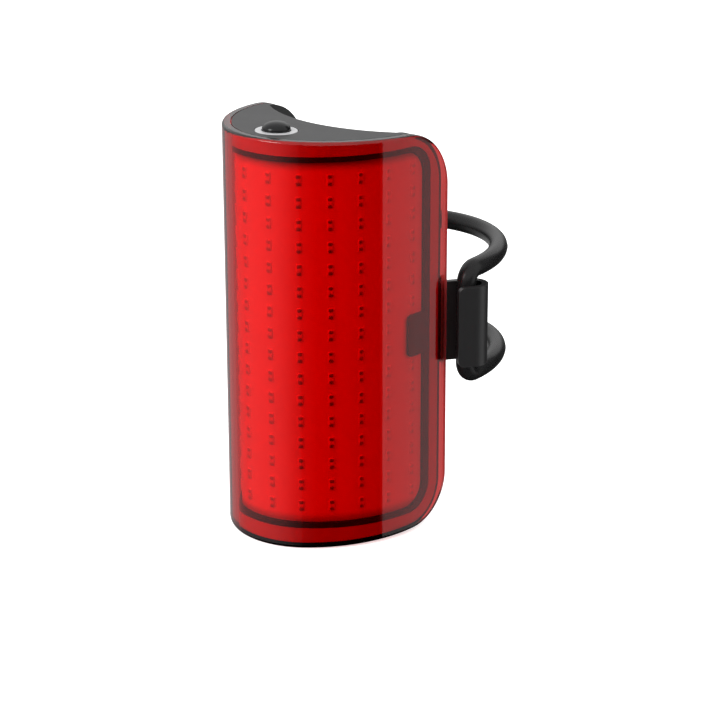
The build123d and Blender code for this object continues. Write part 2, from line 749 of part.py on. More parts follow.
# Main board with its parts, pins, sockets, ribbon and leads
board_centre_z = (MAIN_BOARD_TOP + MAIN_BOARD_LOW) / 2
with BuildPart() as main_board:
    with BuildSketch(across(MAIN_BOARD_BACK)):
        with Locations((0, board_centre_z)):
            Rectangle(MAIN_BOARD_WIDTH, MAIN_BOARD_LENGTH)
        with Locations(*stake_places):
            Circle(STAKE_R + HOLE_GAP, mode=Mode.SUBTRACT)
    extrude(amount=BOARD_THICK)
save(main_board, "main_board")

charger_z = PORT_Z + CHARGER_PORT_GAP
coil_z = MAIN_BOARD_LOW + COIL_END_GAP
front_parts = (
    (0, CONTROLLER_Z, CONTROLLER_WIDTH, CONTROLLER_WIDTH, CONTROLLER_T),
    (0, DRIVER_Z, DRIVER_WIDTH, DRIVER_WIDTH, DRIVER_T),
    (0, SENSOR_Z, SENSOR_WIDTH, SENSOR_HEIGHT, DRIVER_T),
)
back_parts = (
    (0, charger_z, CHARGER_WIDTH, CHARGER_HEIGHT, CHARGER_T),
    (-COIL_X, coil_z, COIL_WIDTH, COIL_HEIGHT, COIL_T),
    (COIL_X, coil_z, SENSOR_WIDTH, SENSOR_HEIGHT, DRIVER_T),
)
with BuildPart() as board_parts:
    for face, rear, places in (
        (MAIN_BOARD_FRONT, 1, front_parts), (MAIN_BOARD_BACK, -1, back_parts)
    ):
        for x, z, width, height, rise in places:
            with BuildSketch(across(face)):
                with Locations((x, z)):
                    Rectangle(width, height)
            extrude(amount=rear * rise)
save(board_parts, "board_parts")

with BuildPart() as board_pins:
    pin_row = MAIN_BOARD_BACK + PIN_WIDTH / 2
    with BuildSketch(Plane.XY.offset(SHELF_TOP)):
        with Locations((PIN_X, pin_row)):
            with GridLocations(PIN_PITCH, PIN_WIDTH, PIN_COUNT, 1):
                Rectangle(PIN_WIDTH, PIN_WIDTH)
    extrude(amount=-(SHELF_T + FIT_GAP + PIN_OVERLAP))
save(board_pins, "board_pins")

cell_middle = CELL_FRONT + CELL_T / 2
lead_z = CELL_TOP + LEAD_RISE
with BuildPart() as lead_socket:
    with BuildSketch(across(MAIN_BOARD_BACK)):
        with Locations((LEAD_X, lead_z)):
            Rectangle(SOCKET_WIDTH, SOCKET_HEIGHT)
    extrude(amount=-SOCKET_T)
save(lead_socket, "lead_socket")

with BuildPart() as battery_leads:
    for side in (-1, 1):
        lead_x = LEAD_X + side * LEAD_SPACING / 2
        with BuildLine() as route:
            FilletPolyline(
                (lead_x, cell_middle, CELL_TOP),
                (lead_x, cell_middle, lead_z),
                (lead_x, MAIN_BOARD_BACK + SOCKET_T, lead_z),
                radius=LEAD_BEND_R,
            )
        with BuildSketch(Plane(origin=route.line @ 0, z_dir=route.line % 0)):
            Circle(LEAD_R)
        sweep()
save(battery_leads, "battery_leads")

with BuildPart() as battery_cell:
    with BuildSketch(across(CELL_FRONT)) as cell_face:
        with Locations((0, CELL_CENTRE_Z)):
            Rectangle(CELL_WIDTH, CELL_TOP - CELL_LOW)
        fillet(cell_face.vertices(), CELL_CORNER_R)
    extrude(amount=-CELL_T)
    fillet(battery_cell.edges().group_by(Axis.Y)[0], CELL_CORNER_R)
    fillet(battery_cell.edges().group_by(Axis.Y)[-1], CELL_CORNER_R)
save(battery_cell, "battery_cell")

with BuildPart() as battery_foam:
    with BuildSketch(across(MAIN_BOARD_BACK)):
        with Locations((0, CELL_CENTRE_Z)):
            Rectangle(FOAM_WIDTH, FOAM_LENGTH)
    extrude(amount=-FOAM_T)
save(battery_foam, "battery_foam")

ribbon_y = MAIN_BOARD_FRONT - RIBBON_SOCKET_T / 2
ribbon_start = FRONT_Y + NOSE_R - math.sqrt((NOSE_R - BOARD_BED)**2 - (RIBBON_WIDTH / 2)**2)
with BuildPart() as flex_cable:
    with BuildLine() as route:
        FilletPolyline(
            (0, ribbon_start, RIBBON_Z),
            (0, ribbon_y, RIBBON_Z),
            (0, ribbon_y, RIBBON_Z - RIBBON_DROP),
            radius=RIBBON_BEND_R,
        )
    with BuildSketch(Plane(origin=route.line @ 0, x_dir=(1, 0, 0), z_dir=route.line % 0)):
        Rectangle(RIBBON_WIDTH, RIBBON_T)
    sweep()
save(flex_cable, "flex_cable")

with BuildPart() as flex_socket:
    with BuildSketch(across(MAIN_BOARD_FRONT)):
        with Locations((0, RIBBON_Z - RIBBON_DROP - RIBBON_SOCKET_HEIGHT / 2)):
            Rectangle(RIBBON_SOCKET_WIDTH, RIBBON_SOCKET_HEIGHT)
    extrude(amount=RIBBON_SOCKET_T)
save(flex_socket, "flex_socket")

# Charging port and its rubber flap
port_mouth = flap_floor - PORT_RECESS
with BuildPart() as charge_port:
    with BuildSketch(across(port_mouth)):
        with Locations((0, PORT_Z)):
            SlotOverall(PORT_WIDTH, PORT_THICK)
    extrude(amount=port_mouth - MAIN_BOARD_BACK)
    with BuildSketch(across(port_mouth)):
        with Locations((0, PORT_Z)):
            SlotOverall(PORT_WIDTH - 2 * PORT_SHELL, PORT_THICK - 2 * PORT_SHELL)
    extrude(amount=port_mouth - MAIN_BOARD_BACK - BOARD_THICK, mode=Mode.SUBTRACT)
save(charge_port, "charge_port")

with BuildPart() as port_tongue:
    with BuildSketch(across(MAIN_BOARD_BACK + BOARD_THICK)):
        with Locations((0, PORT_Z)):
            Rectangle(TONGUE_WIDTH, TONGUE_T)
    extrude(amount=-(port_mouth - MAIN_BOARD_BACK - BOARD_THICK - FLAP_PLUG - TONGUE_SHORT))
save(port_tongue, "port_tongue")

with BuildPart() as port_cover:
    with BuildSketch(across(flap_rear)) as flap_face:
        with Locations((0, PORT_Z)):
            Rectangle(FLAP_WIDTH, FLAP_LENGTH)
        fillet(flap_face.vertices().group_by(Axis.Y)[0], FLAP_CORNER_R)
    extrude(amount=FLAP_T)
    with BuildSketch(Plane.YZ):
        with Locations((flap_hinge_y, flap_hinge_z)):
            Circle(FLAP_T / 2)
    extrude(amount=FLAP_WIDTH / 2, both=True)
    with BuildSketch(across(flap_front)):
        with Locations((0, PORT_Z)):
            SlotOverall(
                PORT_WIDTH - 2 * PORT_SHELL - 2 * PLUG_GAP,
                PORT_THICK - 2 * PORT_SHELL - 2 * PLUG_GAP,
            )
    extrude(amount=FLAP_PLUG)
save(port_cover, "port_cover")

root_low = flap_hinge_z + FLAP_T / 2 + ROOT_GAP
peg_seat = groove_point(0, COVER_R) - TOUCH_GAP
with BuildPart() as port_cover_root:
    with BuildSketch(across(flap_front)):
        with Locations((0, root_low + ROOT_HEIGHT / 2)):
            Rectangle(ROOT_WIDTH, ROOT_HEIGHT)
    extrude(amount=-FLAP_T / 2)
    with BuildSketch(across(flap_front)):
        with Locations((0, peg_z)):
            Circle(PEG_R)
    extrude(amount=flap_front - peg_seat)
    with BuildSketch(across(peg_seat)):
        with Locations((0, peg_z)):
            Circle(PEG_HEAD_R)
    extrude(amount=PEG_HEAD_T)
save(port_cover_root, "port_cover_root")

# Bracket: foot in the groove, cradle for the pad, arms and curled hooks
arm_face = SKIN_IN + ARM_GAP
foot_seat = groove_point(BRACKET_SCREW_X - BRACKET_HEAD_R, FOOT_R - FOOT_T)
cradle_middle = PAD_OUT + CRADLE_T / 2
foot_middle = FOOT_R - FOOT_T / 2


def hook_edge(inset):
    """One face of the right arm, its hook and lip, moved in from the arm's outer face."""
    turn_r = HOOK_TURN_R + inset
    turn = HORN_ANGLE - HOOK_ANGLE
    face = HOOK_CENTRE - HOOK_SIDE * (HOOK_BORE + inset)
    arm_x = horn_point(arm_face + inset, -ARM_ROOT_BACK).X
    corner = face - HOOK_WAY * ((face.X - arm_x) / HOOK_WAY.X)
    bend = corner - HORN_WAY * (turn_r * math.tan(turn / 2))
    arm = Line(horn_point(arm_face + inset, -ARM_ROOT_BACK - FOOT_T), bend)
    elbow = JernArc(bend, HORN_WAY, turn_r, -math.degrees(turn))
    plate = Line(elbow @ 1, face)
    curl = JernArc(plate @ 1, HOOK_WAY, HOOK_BORE + inset, -180)
    lip = Line(curl @ 1, curl @ 1 - HOOK_WAY * HOOK_LIP)
    return arm, lip


lip_end = HOOK_CENTRE + HOOK_SIDE * (HOOK_BORE + HOOK_WALL / 2) - HOOK_WAY * HOOK_LIP


def at_lip_corner(edge):
    """True for the two short edges at the corners of a hook's free lip."""
    middle = Vector(abs((edge @ 0.5).X), (edge @ 0.5).Y)
    across_wall = abs(edge.length - HOOK_WALL) < FIT_GAP
    return across_wall and (middle - lip_end).length < FIT_GAP


with BuildPart() as strap_bracket:
    with BuildSketch():
        add(groove_plan(arm_face, FOOT_R, FOOT_R - FOOT_T))
    extrude(amount=FOOT_HEIGHT / 2, both=True)
    with BuildSketch(Plane.XY.offset(-BRACKET_HEIGHT / 2)):
        add(post_arc(PAD_OUT, PAD_OUT + CRADLE_T, CRADLE_HALF_ANGLE))
        for x in (-WEB_X, 0, WEB_X):
            front = groove_point(x, foot_middle)
            rear = -math.sqrt(cradle_middle**2 - x**2)
            with Locations((x, (front + rear) / 2)):
                Rectangle(WEB_T, rear - front)
    extrude(amount=BRACKET_HEIGHT)
    with BuildSketch(Plane.XY.offset(-BRACKET_HEIGHT / 2)):
        arm_front = groove_point(horn_point(arm_face, HOOK_Y).X, foot_middle)
        with BuildLine():
            outer = Line(horn_point(arm_face, arm_front),
                         horn_point(arm_face, -ARM_ROOT_BACK))
            inner = Line(horn_point(arm_face + ARM_T, arm_front),
                         horn_point(arm_face + ARM_T, -ARM_ROOT_BACK))
            Line(outer @ 0, inner @ 0)
            Line(outer @ 1, inner @ 1)
        make_face()
        mirror(about=Plane.YZ)
    extrude(amount=BRACKET_HEIGHT)
    with BuildSketch(Plane.XY.offset(-HOOK_HEIGHT / 2)):
        with BuildLine():
            outer_arm, outer_curl = hook_edge(0)
            inner_arm, inner_curl = hook_edge(HOOK_WALL)
            Line(outer_arm @ 0, inner_arm @ 0)
            Line(outer_curl @ 1, inner_curl @ 1)
        make_face()
        mirror(about=Plane.YZ)
    extrude(amount=HOOK_HEIGHT)
    fillet(strap_bracket.edges().filter_by(at_lip_corner), HOOK_CORNER_R)
    with BuildSketch(across(foot_seat)):
        with Locations(*insert_places):
            Circle(BRACKET_HEAD_R + HOLE_GAP)
    extrude(amount=foot_seat, mode=Mode.SUBTRACT)
    with BuildSketch(across(foot_seat)):
        with Locations(*insert_places):
            Circle(BRACKET_SCREW_R + HOLE_GAP)
    extrude(amount=2 * FOOT_T, mode=Mode.SUBTRACT)
save(strap_bracket, "strap_bracket")

with BuildPart() as bracket_inserts:
    with BuildSketch(across(insert_rear)):
        with Locations(*insert_places):
            Circle(INSERT_R)
            Circle(BRACKET_SCREW_R + THREAD_GAP, mode=Mode.SUBTRACT)
    extrude(amount=INSERT_LENGTH)
save(bracket_inserts, "bracket_inserts")

bracket_screws = screws(
    insert_places, foot_seat, BRACKET_SCREW_R, BRACKET_HEAD_R, BRACKET_SCREW_LENGTH
)
save(bracket_screws, "bracket_screws")

with BuildPart() as post_pad:
    with BuildSketch():
        add(post_arc(PAD_IN, PAD_OUT - TOUCH_GAP, PAD_HALF_ANGLE))
    extrude(amount=BRACKET_HEIGHT / 2, both=True)
save(post_pad, "post_pad")

# Strap: a closed elastic cord, up through both hooks and round behind the post
lean = math.radians(CORD_LEAN)
lean_way = Vector(-math.sin(lean), math.cos(lean), 0)
bend_low = Vector(HOOK_X, HOOK_Y, CORD_RISE - CORD_BEND_R)
bend_high = bend_low + lean_way * CORD_BEND_R + Vector(0, 0, CORD_BEND_R)
bend_middle = (
    bend_low
    + lean_way * CORD_BEND_R * (1 - math.sqrt(0.5))
    + Vector(0, 0, CORD_BEND_R * math.sqrt(0.5))
)
loop_start = math.atan(math.tan(lean) * LOOP_STRETCH)
loop_r = bend_high.X / math.cos(loop_start)
loop_y = bend_high.Y - LOOP_STRETCH * loop_r * math.sin(loop_start)

with BuildPart() as strap_loop:
    with BuildLine() as route:
        Line((HOOK_X, HOOK_Y, 0), bend_low)
        ThreePointArc(bend_low, bend_middle, bend_high)
        EllipticalCenterArc(
            (0, loop_y, CORD_RISE), loop_r, LOOP_STRETCH * loop_r,
            math.degrees(loop_start), arc_size=90 - math.degrees(loop_start),
        )
    with BuildSketch(Plane.XY):
        with Locations((HOOK_X, HOOK_Y)):
            Circle(CORD_R)
    sweep()
    mirror(about=Plane.YZ)
    mirror(about=Plane.XY)
save(strap_loop, "strap_loop")

cord_length = 4 * sum(run.length for run in route.edges())
cord_volume = cord_length * math.pi * CORD_R**2
print(f"strap length {cord_length:.1f} mm, volume {strap_loop.part.volume:.0f} mm3, "
      f"section times length {cord_volume:.0f} mm3")
print(f"strap radii: bends {CORD_BEND_R:.1f} mm, loop {loop_r:.1f} mm")
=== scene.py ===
"""Looks of a rear bicycle light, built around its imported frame.

Metres, +Z up, the lens faces -Y. The origin lies on the seat post's axis, at the light's
mid height, as in the part's source.
"""

import math

import bmesh
import bpy
from bpy.props import FloatProperty, FloatVectorProperty, IntProperty, PointerProperty
from bpy.types import Operator, Panel, PropertyGroup
from mathutils import Matrix, Vector


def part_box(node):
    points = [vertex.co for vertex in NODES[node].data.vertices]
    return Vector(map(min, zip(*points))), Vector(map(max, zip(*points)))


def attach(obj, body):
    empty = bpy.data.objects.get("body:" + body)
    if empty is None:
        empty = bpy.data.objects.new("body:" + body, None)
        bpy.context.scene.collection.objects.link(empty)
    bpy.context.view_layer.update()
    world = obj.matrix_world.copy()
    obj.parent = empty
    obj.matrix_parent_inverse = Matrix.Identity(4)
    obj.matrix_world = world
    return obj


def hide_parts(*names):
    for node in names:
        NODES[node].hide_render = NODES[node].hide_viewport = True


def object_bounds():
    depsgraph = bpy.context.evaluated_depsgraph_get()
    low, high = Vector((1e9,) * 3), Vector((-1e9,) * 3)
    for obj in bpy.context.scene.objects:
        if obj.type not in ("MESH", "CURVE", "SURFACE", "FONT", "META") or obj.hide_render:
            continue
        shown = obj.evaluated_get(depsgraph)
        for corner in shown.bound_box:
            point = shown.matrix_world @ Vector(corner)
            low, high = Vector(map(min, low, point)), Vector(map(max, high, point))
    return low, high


bl_info = {
    "name": "Bike light",
    "version": (1, 0, 0),
    "blender": (4, 5, 0),
    "location": "View3D > Sidebar > Bike light",
    "description": "Dresses a strap-on rear bicycle light in lens, panel, rubber and plastic",
    "category": "Object",
}

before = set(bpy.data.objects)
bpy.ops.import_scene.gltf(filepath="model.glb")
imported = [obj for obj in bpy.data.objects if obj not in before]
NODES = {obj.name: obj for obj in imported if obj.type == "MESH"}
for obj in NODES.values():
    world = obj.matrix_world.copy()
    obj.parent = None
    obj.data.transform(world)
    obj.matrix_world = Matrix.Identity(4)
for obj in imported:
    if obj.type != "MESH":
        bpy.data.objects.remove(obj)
CAD_LOW, CAD_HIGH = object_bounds()
MM = 0.001

# Grip pad: an arc against the post
PAD_INNER_R = 15.9 * MM
PAD_OUTER_R = 18.35 * MM
PAD_HALF_ANGLE = math.radians(59)
PAD_SOFT = 0.4 * MM  # rounding of its edges
PAD_STEPS_PER_RIB = 8
PAD_GROOVE_STEEPNESS = 2.2  # more makes the grooves narrower

# Port flap with its hinge bead, and the root beside it
FLAP_THICKNESS = 1.2 * MM
FLAP_EDGE = 0.35 * MM
BEAD_R = 0.6 * MM
BEAD_END_R = 0.45 * MM
BEAD_END_LENGTH = 0.2 * MM
PLUG_SIZE = (7.8 * MM, 2.0 * MM, 0.8 * MM)
PLUG_CORNER_R = 0.9 * MM
PLUG_RAISE = 4.1 * MM  # its middle over the flap's lower edge
ROOT_THICKNESS = 0.6 * MM
ROOT_EDGE = 0.2 * MM
ROOT_CROWN = 0.08 * MM
PEG_HEAD_R = 1.3 * MM
PEG_TIP_R = 1.1 * MM
PEG_NECK_R = 0.9 * MM
PEG_TIP_LENGTH = 0.15 * MM
PEG_HEAD_LENGTH = 0.6 * MM
PEG_NECK_INSET = 0.55 * MM  # its end before the root's rear face
SLAB_CORNER_R = 1.5 * MM
SLAB_LEAST_CORNER_R = 0.4 * MM
SLAB_STEPS = 12  # in each rounded corner
ROUND_SIDES = 24

# Strap
STRAP_SIDES = 36
STRAP_STEPS = 24  # between two stops of its line


def colour_setting(name, description, default):
    """A colour that a user may change."""
    return FloatVectorProperty(
        name=name, description=description, default=default, subtype="COLOR",
        size=3, min=0, max=1,
    )


def length_setting(name, description, millimetres):
    """A length that a user may change, given in millimetres."""
    return FloatProperty(
        name=name, description=description, default=millimetres * MM, min=0,
        subtype="DISTANCE", unit="LENGTH", precision=5,
    )


class LensSettings(PropertyGroup):
    """Body outline and clear red cover."""

    nose_r: length_setting("Nose radius", "Radius of the front of the body's outline", 18.1)
    nose_turn: FloatProperty(
        name="Nose turn", description="Angle of the front arc on each side",
        default=math.radians(36.6), subtype="ANGLE", unit="ROTATION",
    )
    side_r: length_setting("Side radius", "Radius of the sides of the body's outline", 29.0)
    side_turn: FloatProperty(
        name="Side turn", description="Angle of the side arc, before the straight part",
        default=math.radians(52.7), subtype="ANGLE", unit="ROTATION",
    )
    nose_to_post: length_setting("Nose to post", "From the lens's front to the post's axis", 49.5)
    tint: colour_setting("Lens tint", "Colour that light takes through the lens",
                         (0.95, 0.05, 0.05))
    rim_tint: colour_setting("Rim tint", "Dark tint of the lens's lower edge",
                             (0.02, 0.012, 0.012))
    rim_start: length_setting("Rim start", "Where the dark rim starts, below mid height", 43.95)
    rim_end: length_setting("Rim end", "Where it is darkest, below mid height", 44.3)
    frost_start: length_setting("Frost start", "Where the lens's frosted back edge starts, "
                                "behind its front", 35.8)
    frost_end: length_setting("Frost end", "Where that edge is fully frosted", 36.1)
    end_slope: FloatProperty(
        name="End slope", description="Slope of the body's flat ends",
        default=math.radians(1.85), subtype="ANGLE", unit="ROTATION",
    )
    shadow_tint: colour_setting("Shadow tint", "Colour of lamp light that passes the lens",
                                (0.95, 0.30, 0.30))


class PanelSettings(PropertyGroup):
    """Rows of lamps under the lens."""

    red: colour_setting("Panel red", "Colour of the lit panel", (0.90, 0.012, 0.01))
    columns: IntProperty(name="Columns", description="Columns of lamps", default=12, min=1)
    rows: IntProperty(name="Rows", description="Rows of lamps", default=16, min=1)
    column_pitch: length_setting("Column pitch", "Distance between the columns", 6.4)
    row_pitch: length_setting("Row pitch", "Distance between the rows", 4.8)
    rows_raise: length_setting("Rows' raise", "How far the rows' middle lies over mid height",
                               0.4)
    board_depth: length_setting("Board depth", "Depth of the panel below the outline", 2.6)
    block_width: length_setting("Block width", "Width of a lamp's block", 1.2)
    block_height: length_setting("Block height", "Height of a lamp's block", 2.5)
    block_rise: length_setting("Block rise", "How far a block stands off the panel", 0.22)
    window_width: length_setting("Window width", "Width of one dark window", 0.95)
    window_height: length_setting("Window height", "Height of one dark window", 0.8)
    window_pitch: length_setting("Window pitch", "Distance between a block's windows", 1.5)
    # Where the painted shade of the frame's shadow starts on the panel, and where it is darkest
    painted_shade_start: length_setting("Shade start", "Height where the panel starts to darken", 37.5)
    painted_shade_end: length_setting("Shade end", "Height where it is darkest", 39.8)


class StrapSettings(PropertyGroup):
    """Elastic strap through both hooks."""

    cord_r: length_setting("Strap radius", "Radius of the elastic strap", 2.15)
    hook_x: length_setting("Hook offset", "From the mid plane to the strap in a hook", 24.35)
    hook_to_post: length_setting("Hook to post", "How far that strap lies before the post", 8.3)
    rise: length_setting("Strap rise", "Height of the upper run over mid height", 11.85)
    bend_r: length_setting("Bend radius", "Radius of the bend above a hook", 3.0)
    lean: FloatProperty(
        name="Lean", description="How far the strap turns inwards as it leaves a hook",
        default=math.radians(4.7), subtype="ANGLE", unit="ROTATION",
    )
    stretch: FloatProperty(
        name="Loop stretch", description="How much longer than wide the loop's half is",
        default=1.11,
    )
    seam: length_setting("Mould line", "Height of the fine mould line on the strap", 0.05)


class RubberSettings(PropertyGroup):
    """Grip pad and port flap."""

    pad_ribs: IntProperty(name="Pad ribs", description="Upright ribs of the grip pad",
                          default=19, min=3)
    groove_depth: length_setting("Groove depth", "Depth of the grooves between the ribs", 0.45)
    flap_crown: length_setting("Flap crown", "How far the flap's face swells", 0.12)


class StageSettings(PropertyGroup):
    """Camera, floor and light."""

    camera_place: FloatVectorProperty(
        name="Camera place", description="Where the camera stands", size=3,
        default=(0.33967, -0.38811, 0.16563), subtype="TRANSLATION", unit="LENGTH",
    )
    azimuth: FloatProperty(name="Azimuth", description="Camera's direction round the light",
                           default=math.radians(42.356), subtype="ANGLE", unit="ROTATION")
    elevation: FloatProperty(name="Elevation", description="Camera's height as an angle",
                             default=math.radians(19.448), subtype="ANGLE", unit="ROTATION")
    roll: FloatProperty(name="Roll", description="Camera's roll",
                        default=math.radians(-0.130), subtype="ANGLE", unit="ROTATION")
    focal: FloatProperty(name="Focal length", description="Camera's focal length, in mm",
                         default=120.37)
    room: FloatProperty(name="Room light", description="Share of the room's white that lights",
                        default=1.4)
    key: FloatProperty(name="Key light", description="Power of the front lamp, in watts",
                       default=1.8)


# Node trees


def wire(tree, value, socket):
    """Feeds a socket from another socket, or sets it."""
    if isinstance(value, bpy.types.NodeSocket):
        tree.links.new(value, socket)
    else:
        socket.default_value = value


def calc(tree, operation, *values):
    """A Math node over values or sockets; returns its output."""
    node = tree.nodes.new("ShaderNodeMath")
    node.operation = operation
    for value, socket in zip(values, node.inputs):
        wire(tree, value, socket)
    return node.outputs[0]


def ramp(tree, value, start, end, low=0.0, high=1.0):
    """Smooth step of a value between two limits; returns its output."""
    node = tree.nodes.new("ShaderNodeMapRange")
    node.interpolation_type = "SMOOTHSTEP"
    for number, socket in zip((value, start, end, low, high), node.inputs):
        wire(tree, number, socket)
    return node.outputs[0]


def blend_colour(tree, share, first, second, mode="MIX"):
    """Mixes two colours; returns the output."""
    node = tree.nodes.new("ShaderNodeMix")
    node.data_type = "RGBA"
    node.blend_type = mode
    wire(tree, share, node.inputs[0])
    for value, socket in ((first, node.inputs[6]), (second, node.inputs[7])):
        if not isinstance(value, bpy.types.NodeSocket) and len(value) == 3:
            value = (*value, 1.0)
        wire(tree, value, socket)
    return node.outputs[2]


def blend(tree, share, first, second):
    """Mixes two numbers; returns the output."""
    node = tree.nodes.new("ShaderNodeMix")
    wire(tree, share, node.inputs[0])
    wire(tree, first, node.inputs[2])
    wire(tree, second, node.inputs[3])
    return node.outputs[0]


def blend_shaders(tree, share, first, second):
    """Mixes two shaders; returns the output."""
    node = tree.nodes.new("ShaderNodeMixShader")
    for source, socket in zip((share, first, second), node.inputs):
        tree.links.new(source, socket)
    return node.outputs[0]


def shade(tree, colour, level):
    """Multiplies a colour by one number; returns the output."""
    tone = tree.nodes.new("ShaderNodeCombineColor")
    for socket in tone.inputs:
        tree.links.new(level, socket)
    return blend_colour(tree, 1.0, colour, tone.outputs[0], "MULTIPLY")


def split(tree, vector):
    """The three numbers of a vector."""
    node = tree.nodes.new("ShaderNodeSeparateXYZ")
    tree.links.new(vector, node.inputs[0])
    return node.outputs


def noise(tree, vector, scale, detail=3.0, roughness=0.55):
    """Noise texture; returns its value."""
    node = tree.nodes.new("ShaderNodeTexNoise")
    wire(tree, vector, node.inputs["Vector"])
    wire(tree, scale, node.inputs["Scale"])
    node.inputs["Detail"].default_value = detail
    node.inputs["Roughness"].default_value = roughness
    return node.outputs[0]


def new_group(name, inputs, outputs):
    """A shader node group with its sockets; returns the tree and its two end nodes."""
    tree = bpy.data.node_groups.new(name, "ShaderNodeTree")
    for label, kind, default in inputs:
        socket = tree.interface.new_socket(label, in_out="INPUT", socket_type=kind)
        if default is not None:
            socket.default_value = default
    for label, kind in outputs:
        tree.interface.new_socket(label, in_out="OUTPUT", socket_type=kind)
    return tree, tree.nodes.new("NodeGroupInput"), tree.nodes.new("NodeGroupOutput")


def moulded_grain():
    """Group: fine moulded grain, with a faint mottle of colour and gloss."""
    cloud_scale = 0.04  # of the grain's scale
    gloss_grain, gloss_mottle = 0.12, 0.5
    found = bpy.data.node_groups.get("moulded_grain")
    if found:
        return found
    tree, start, end = new_group(
        "moulded_grain",
        (("Color", "NodeSocketColor", (0.1, 0.1, 0.1, 1)),
         ("Roughness", "NodeSocketFloat", 0.5),
         ("Grain per metre", "NodeSocketFloat", 4000.0),
         ("Grain depth", "NodeSocketFloat", 0.00002),
         ("Mottle", "NodeSocketFloat", 0.1)),
        (("Color", "NodeSocketColor"), ("Roughness", "NodeSocketFloat"),
         ("Normal", "NodeSocketVector")),
    )
    place = tree.nodes.new("ShaderNodeTexCoord").outputs["Object"]
    grain = noise(tree, place, start.outputs["Grain per metre"], 2.0)
    cloud = noise(tree, place, calc(tree, "MULTIPLY", start.outputs["Grain per metre"],
                                    cloud_scale))
    swing = calc(tree, "MULTIPLY", calc(tree, "SUBTRACT", cloud, 0.5),
                 start.outputs["Mottle"])
    colour = shade(tree, start.outputs["Color"], calc(tree, "ADD", 1.0, swing))
    tree.links.new(colour, end.inputs["Color"])
    speck = calc(tree, "MULTIPLY", calc(tree, "SUBTRACT", grain, 0.5), gloss_grain)
    rough = calc(tree, "ADD", calc(tree, "ADD", start.outputs["Roughness"], speck),
                 calc(tree, "MULTIPLY", swing, gloss_mottle))
    tree.links.new(rough, end.inputs["Roughness"])
    bump = tree.nodes.new("ShaderNodeBump")
    tree.links.new(start.outputs["Grain depth"], bump.inputs["Distance"])
    tree.links.new(grain, bump.inputs["Height"])
    tree.links.new(bump.outputs[0], end.inputs["Normal"])
    return tree


def worn_lit_edges_group():
    """Group: edges lighter in patches, partly wear that handling has polished and partly a
    painted highlight on their rounding.
    """
    patch_scale, patch_limits = 260.0, (0.35, 0.65)
    edge_limits = (0.99, 0.85)  # cosine between the true and the rounded normal
    polish = 0.15
    found = bpy.data.node_groups.get("worn_lit_edges_group")
    if found:
        return found
    tree, start, end = new_group(
        "worn_lit_edges_group",
        (("Color", "NodeSocketColor", (0.1, 0.1, 0.1, 1)),
         ("Roughness", "NodeSocketFloat", 0.5),
         ("Rubbed color", "NodeSocketColor", (0.2, 0.2, 0.2, 1)),
         ("Width", "NodeSocketFloat", 0.0003),
         ("Amount", "NodeSocketFloat", 0.4)),
        (("Color", "NodeSocketColor"), ("Roughness", "NodeSocketFloat")),
    )
    bevel = tree.nodes.new("ShaderNodeBevel")
    bevel.samples = 4
    tree.links.new(start.outputs["Width"], bevel.inputs["Radius"])
    true = tree.nodes.new("ShaderNodeNewGeometry").outputs["Normal"]
    turn = tree.nodes.new("ShaderNodeVectorMath")
    turn.operation = "DOT_PRODUCT"
    tree.links.new(bevel.outputs[0], turn.inputs[0])
    tree.links.new(true, turn.inputs[1])
    place = tree.nodes.new("ShaderNodeTexCoord").outputs["Object"]
    patches = ramp(tree, noise(tree, place, patch_scale), *patch_limits)
    # Edges found by the bevel go lighter in patches: part wear, part painted highlight
    worn_lit_mask = calc(tree, "MULTIPLY", ramp(tree, turn.outputs["Value"], *edge_limits), patches)
    share = calc(tree, "MULTIPLY", worn_lit_mask, start.outputs["Amount"])
    colour = blend_colour(tree, share, start.outputs["Color"], start.outputs["Rubbed color"])
    tree.links.new(colour, end.inputs["Color"])
    rough = calc(tree, "SUBTRACT", start.outputs["Roughness"],
                 calc(tree, "MULTIPLY", share, polish))
    tree.links.new(rough, end.inputs["Roughness"])
    return tree


def new_material(name):
    """A material with only its output; returns it and its tree."""
    material = bpy.data.materials.new(name)
    material.use_nodes = True
    tree = material.node_tree
    tree.nodes.clear()
    tree.nodes.new("ShaderNodeOutputMaterial")
    return material, tree


def output_of(tree):
    """The tree's material output node."""
    return next(n for n in tree.nodes if n.type == "OUTPUT_MATERIAL")


def place_group(tree, group, **values):
    """Places a node group with its own values; names use _ for spaces."""
    node = tree.nodes.new("ShaderNodeGroup")
    node.node_tree = group
    for label, value in values.items():
        if not isinstance(value, bpy.types.NodeSocket) and isinstance(value, tuple):
            value = (*value, 1.0)
        wire(tree, value, node.inputs[label.replace("_", " ")])
    return node


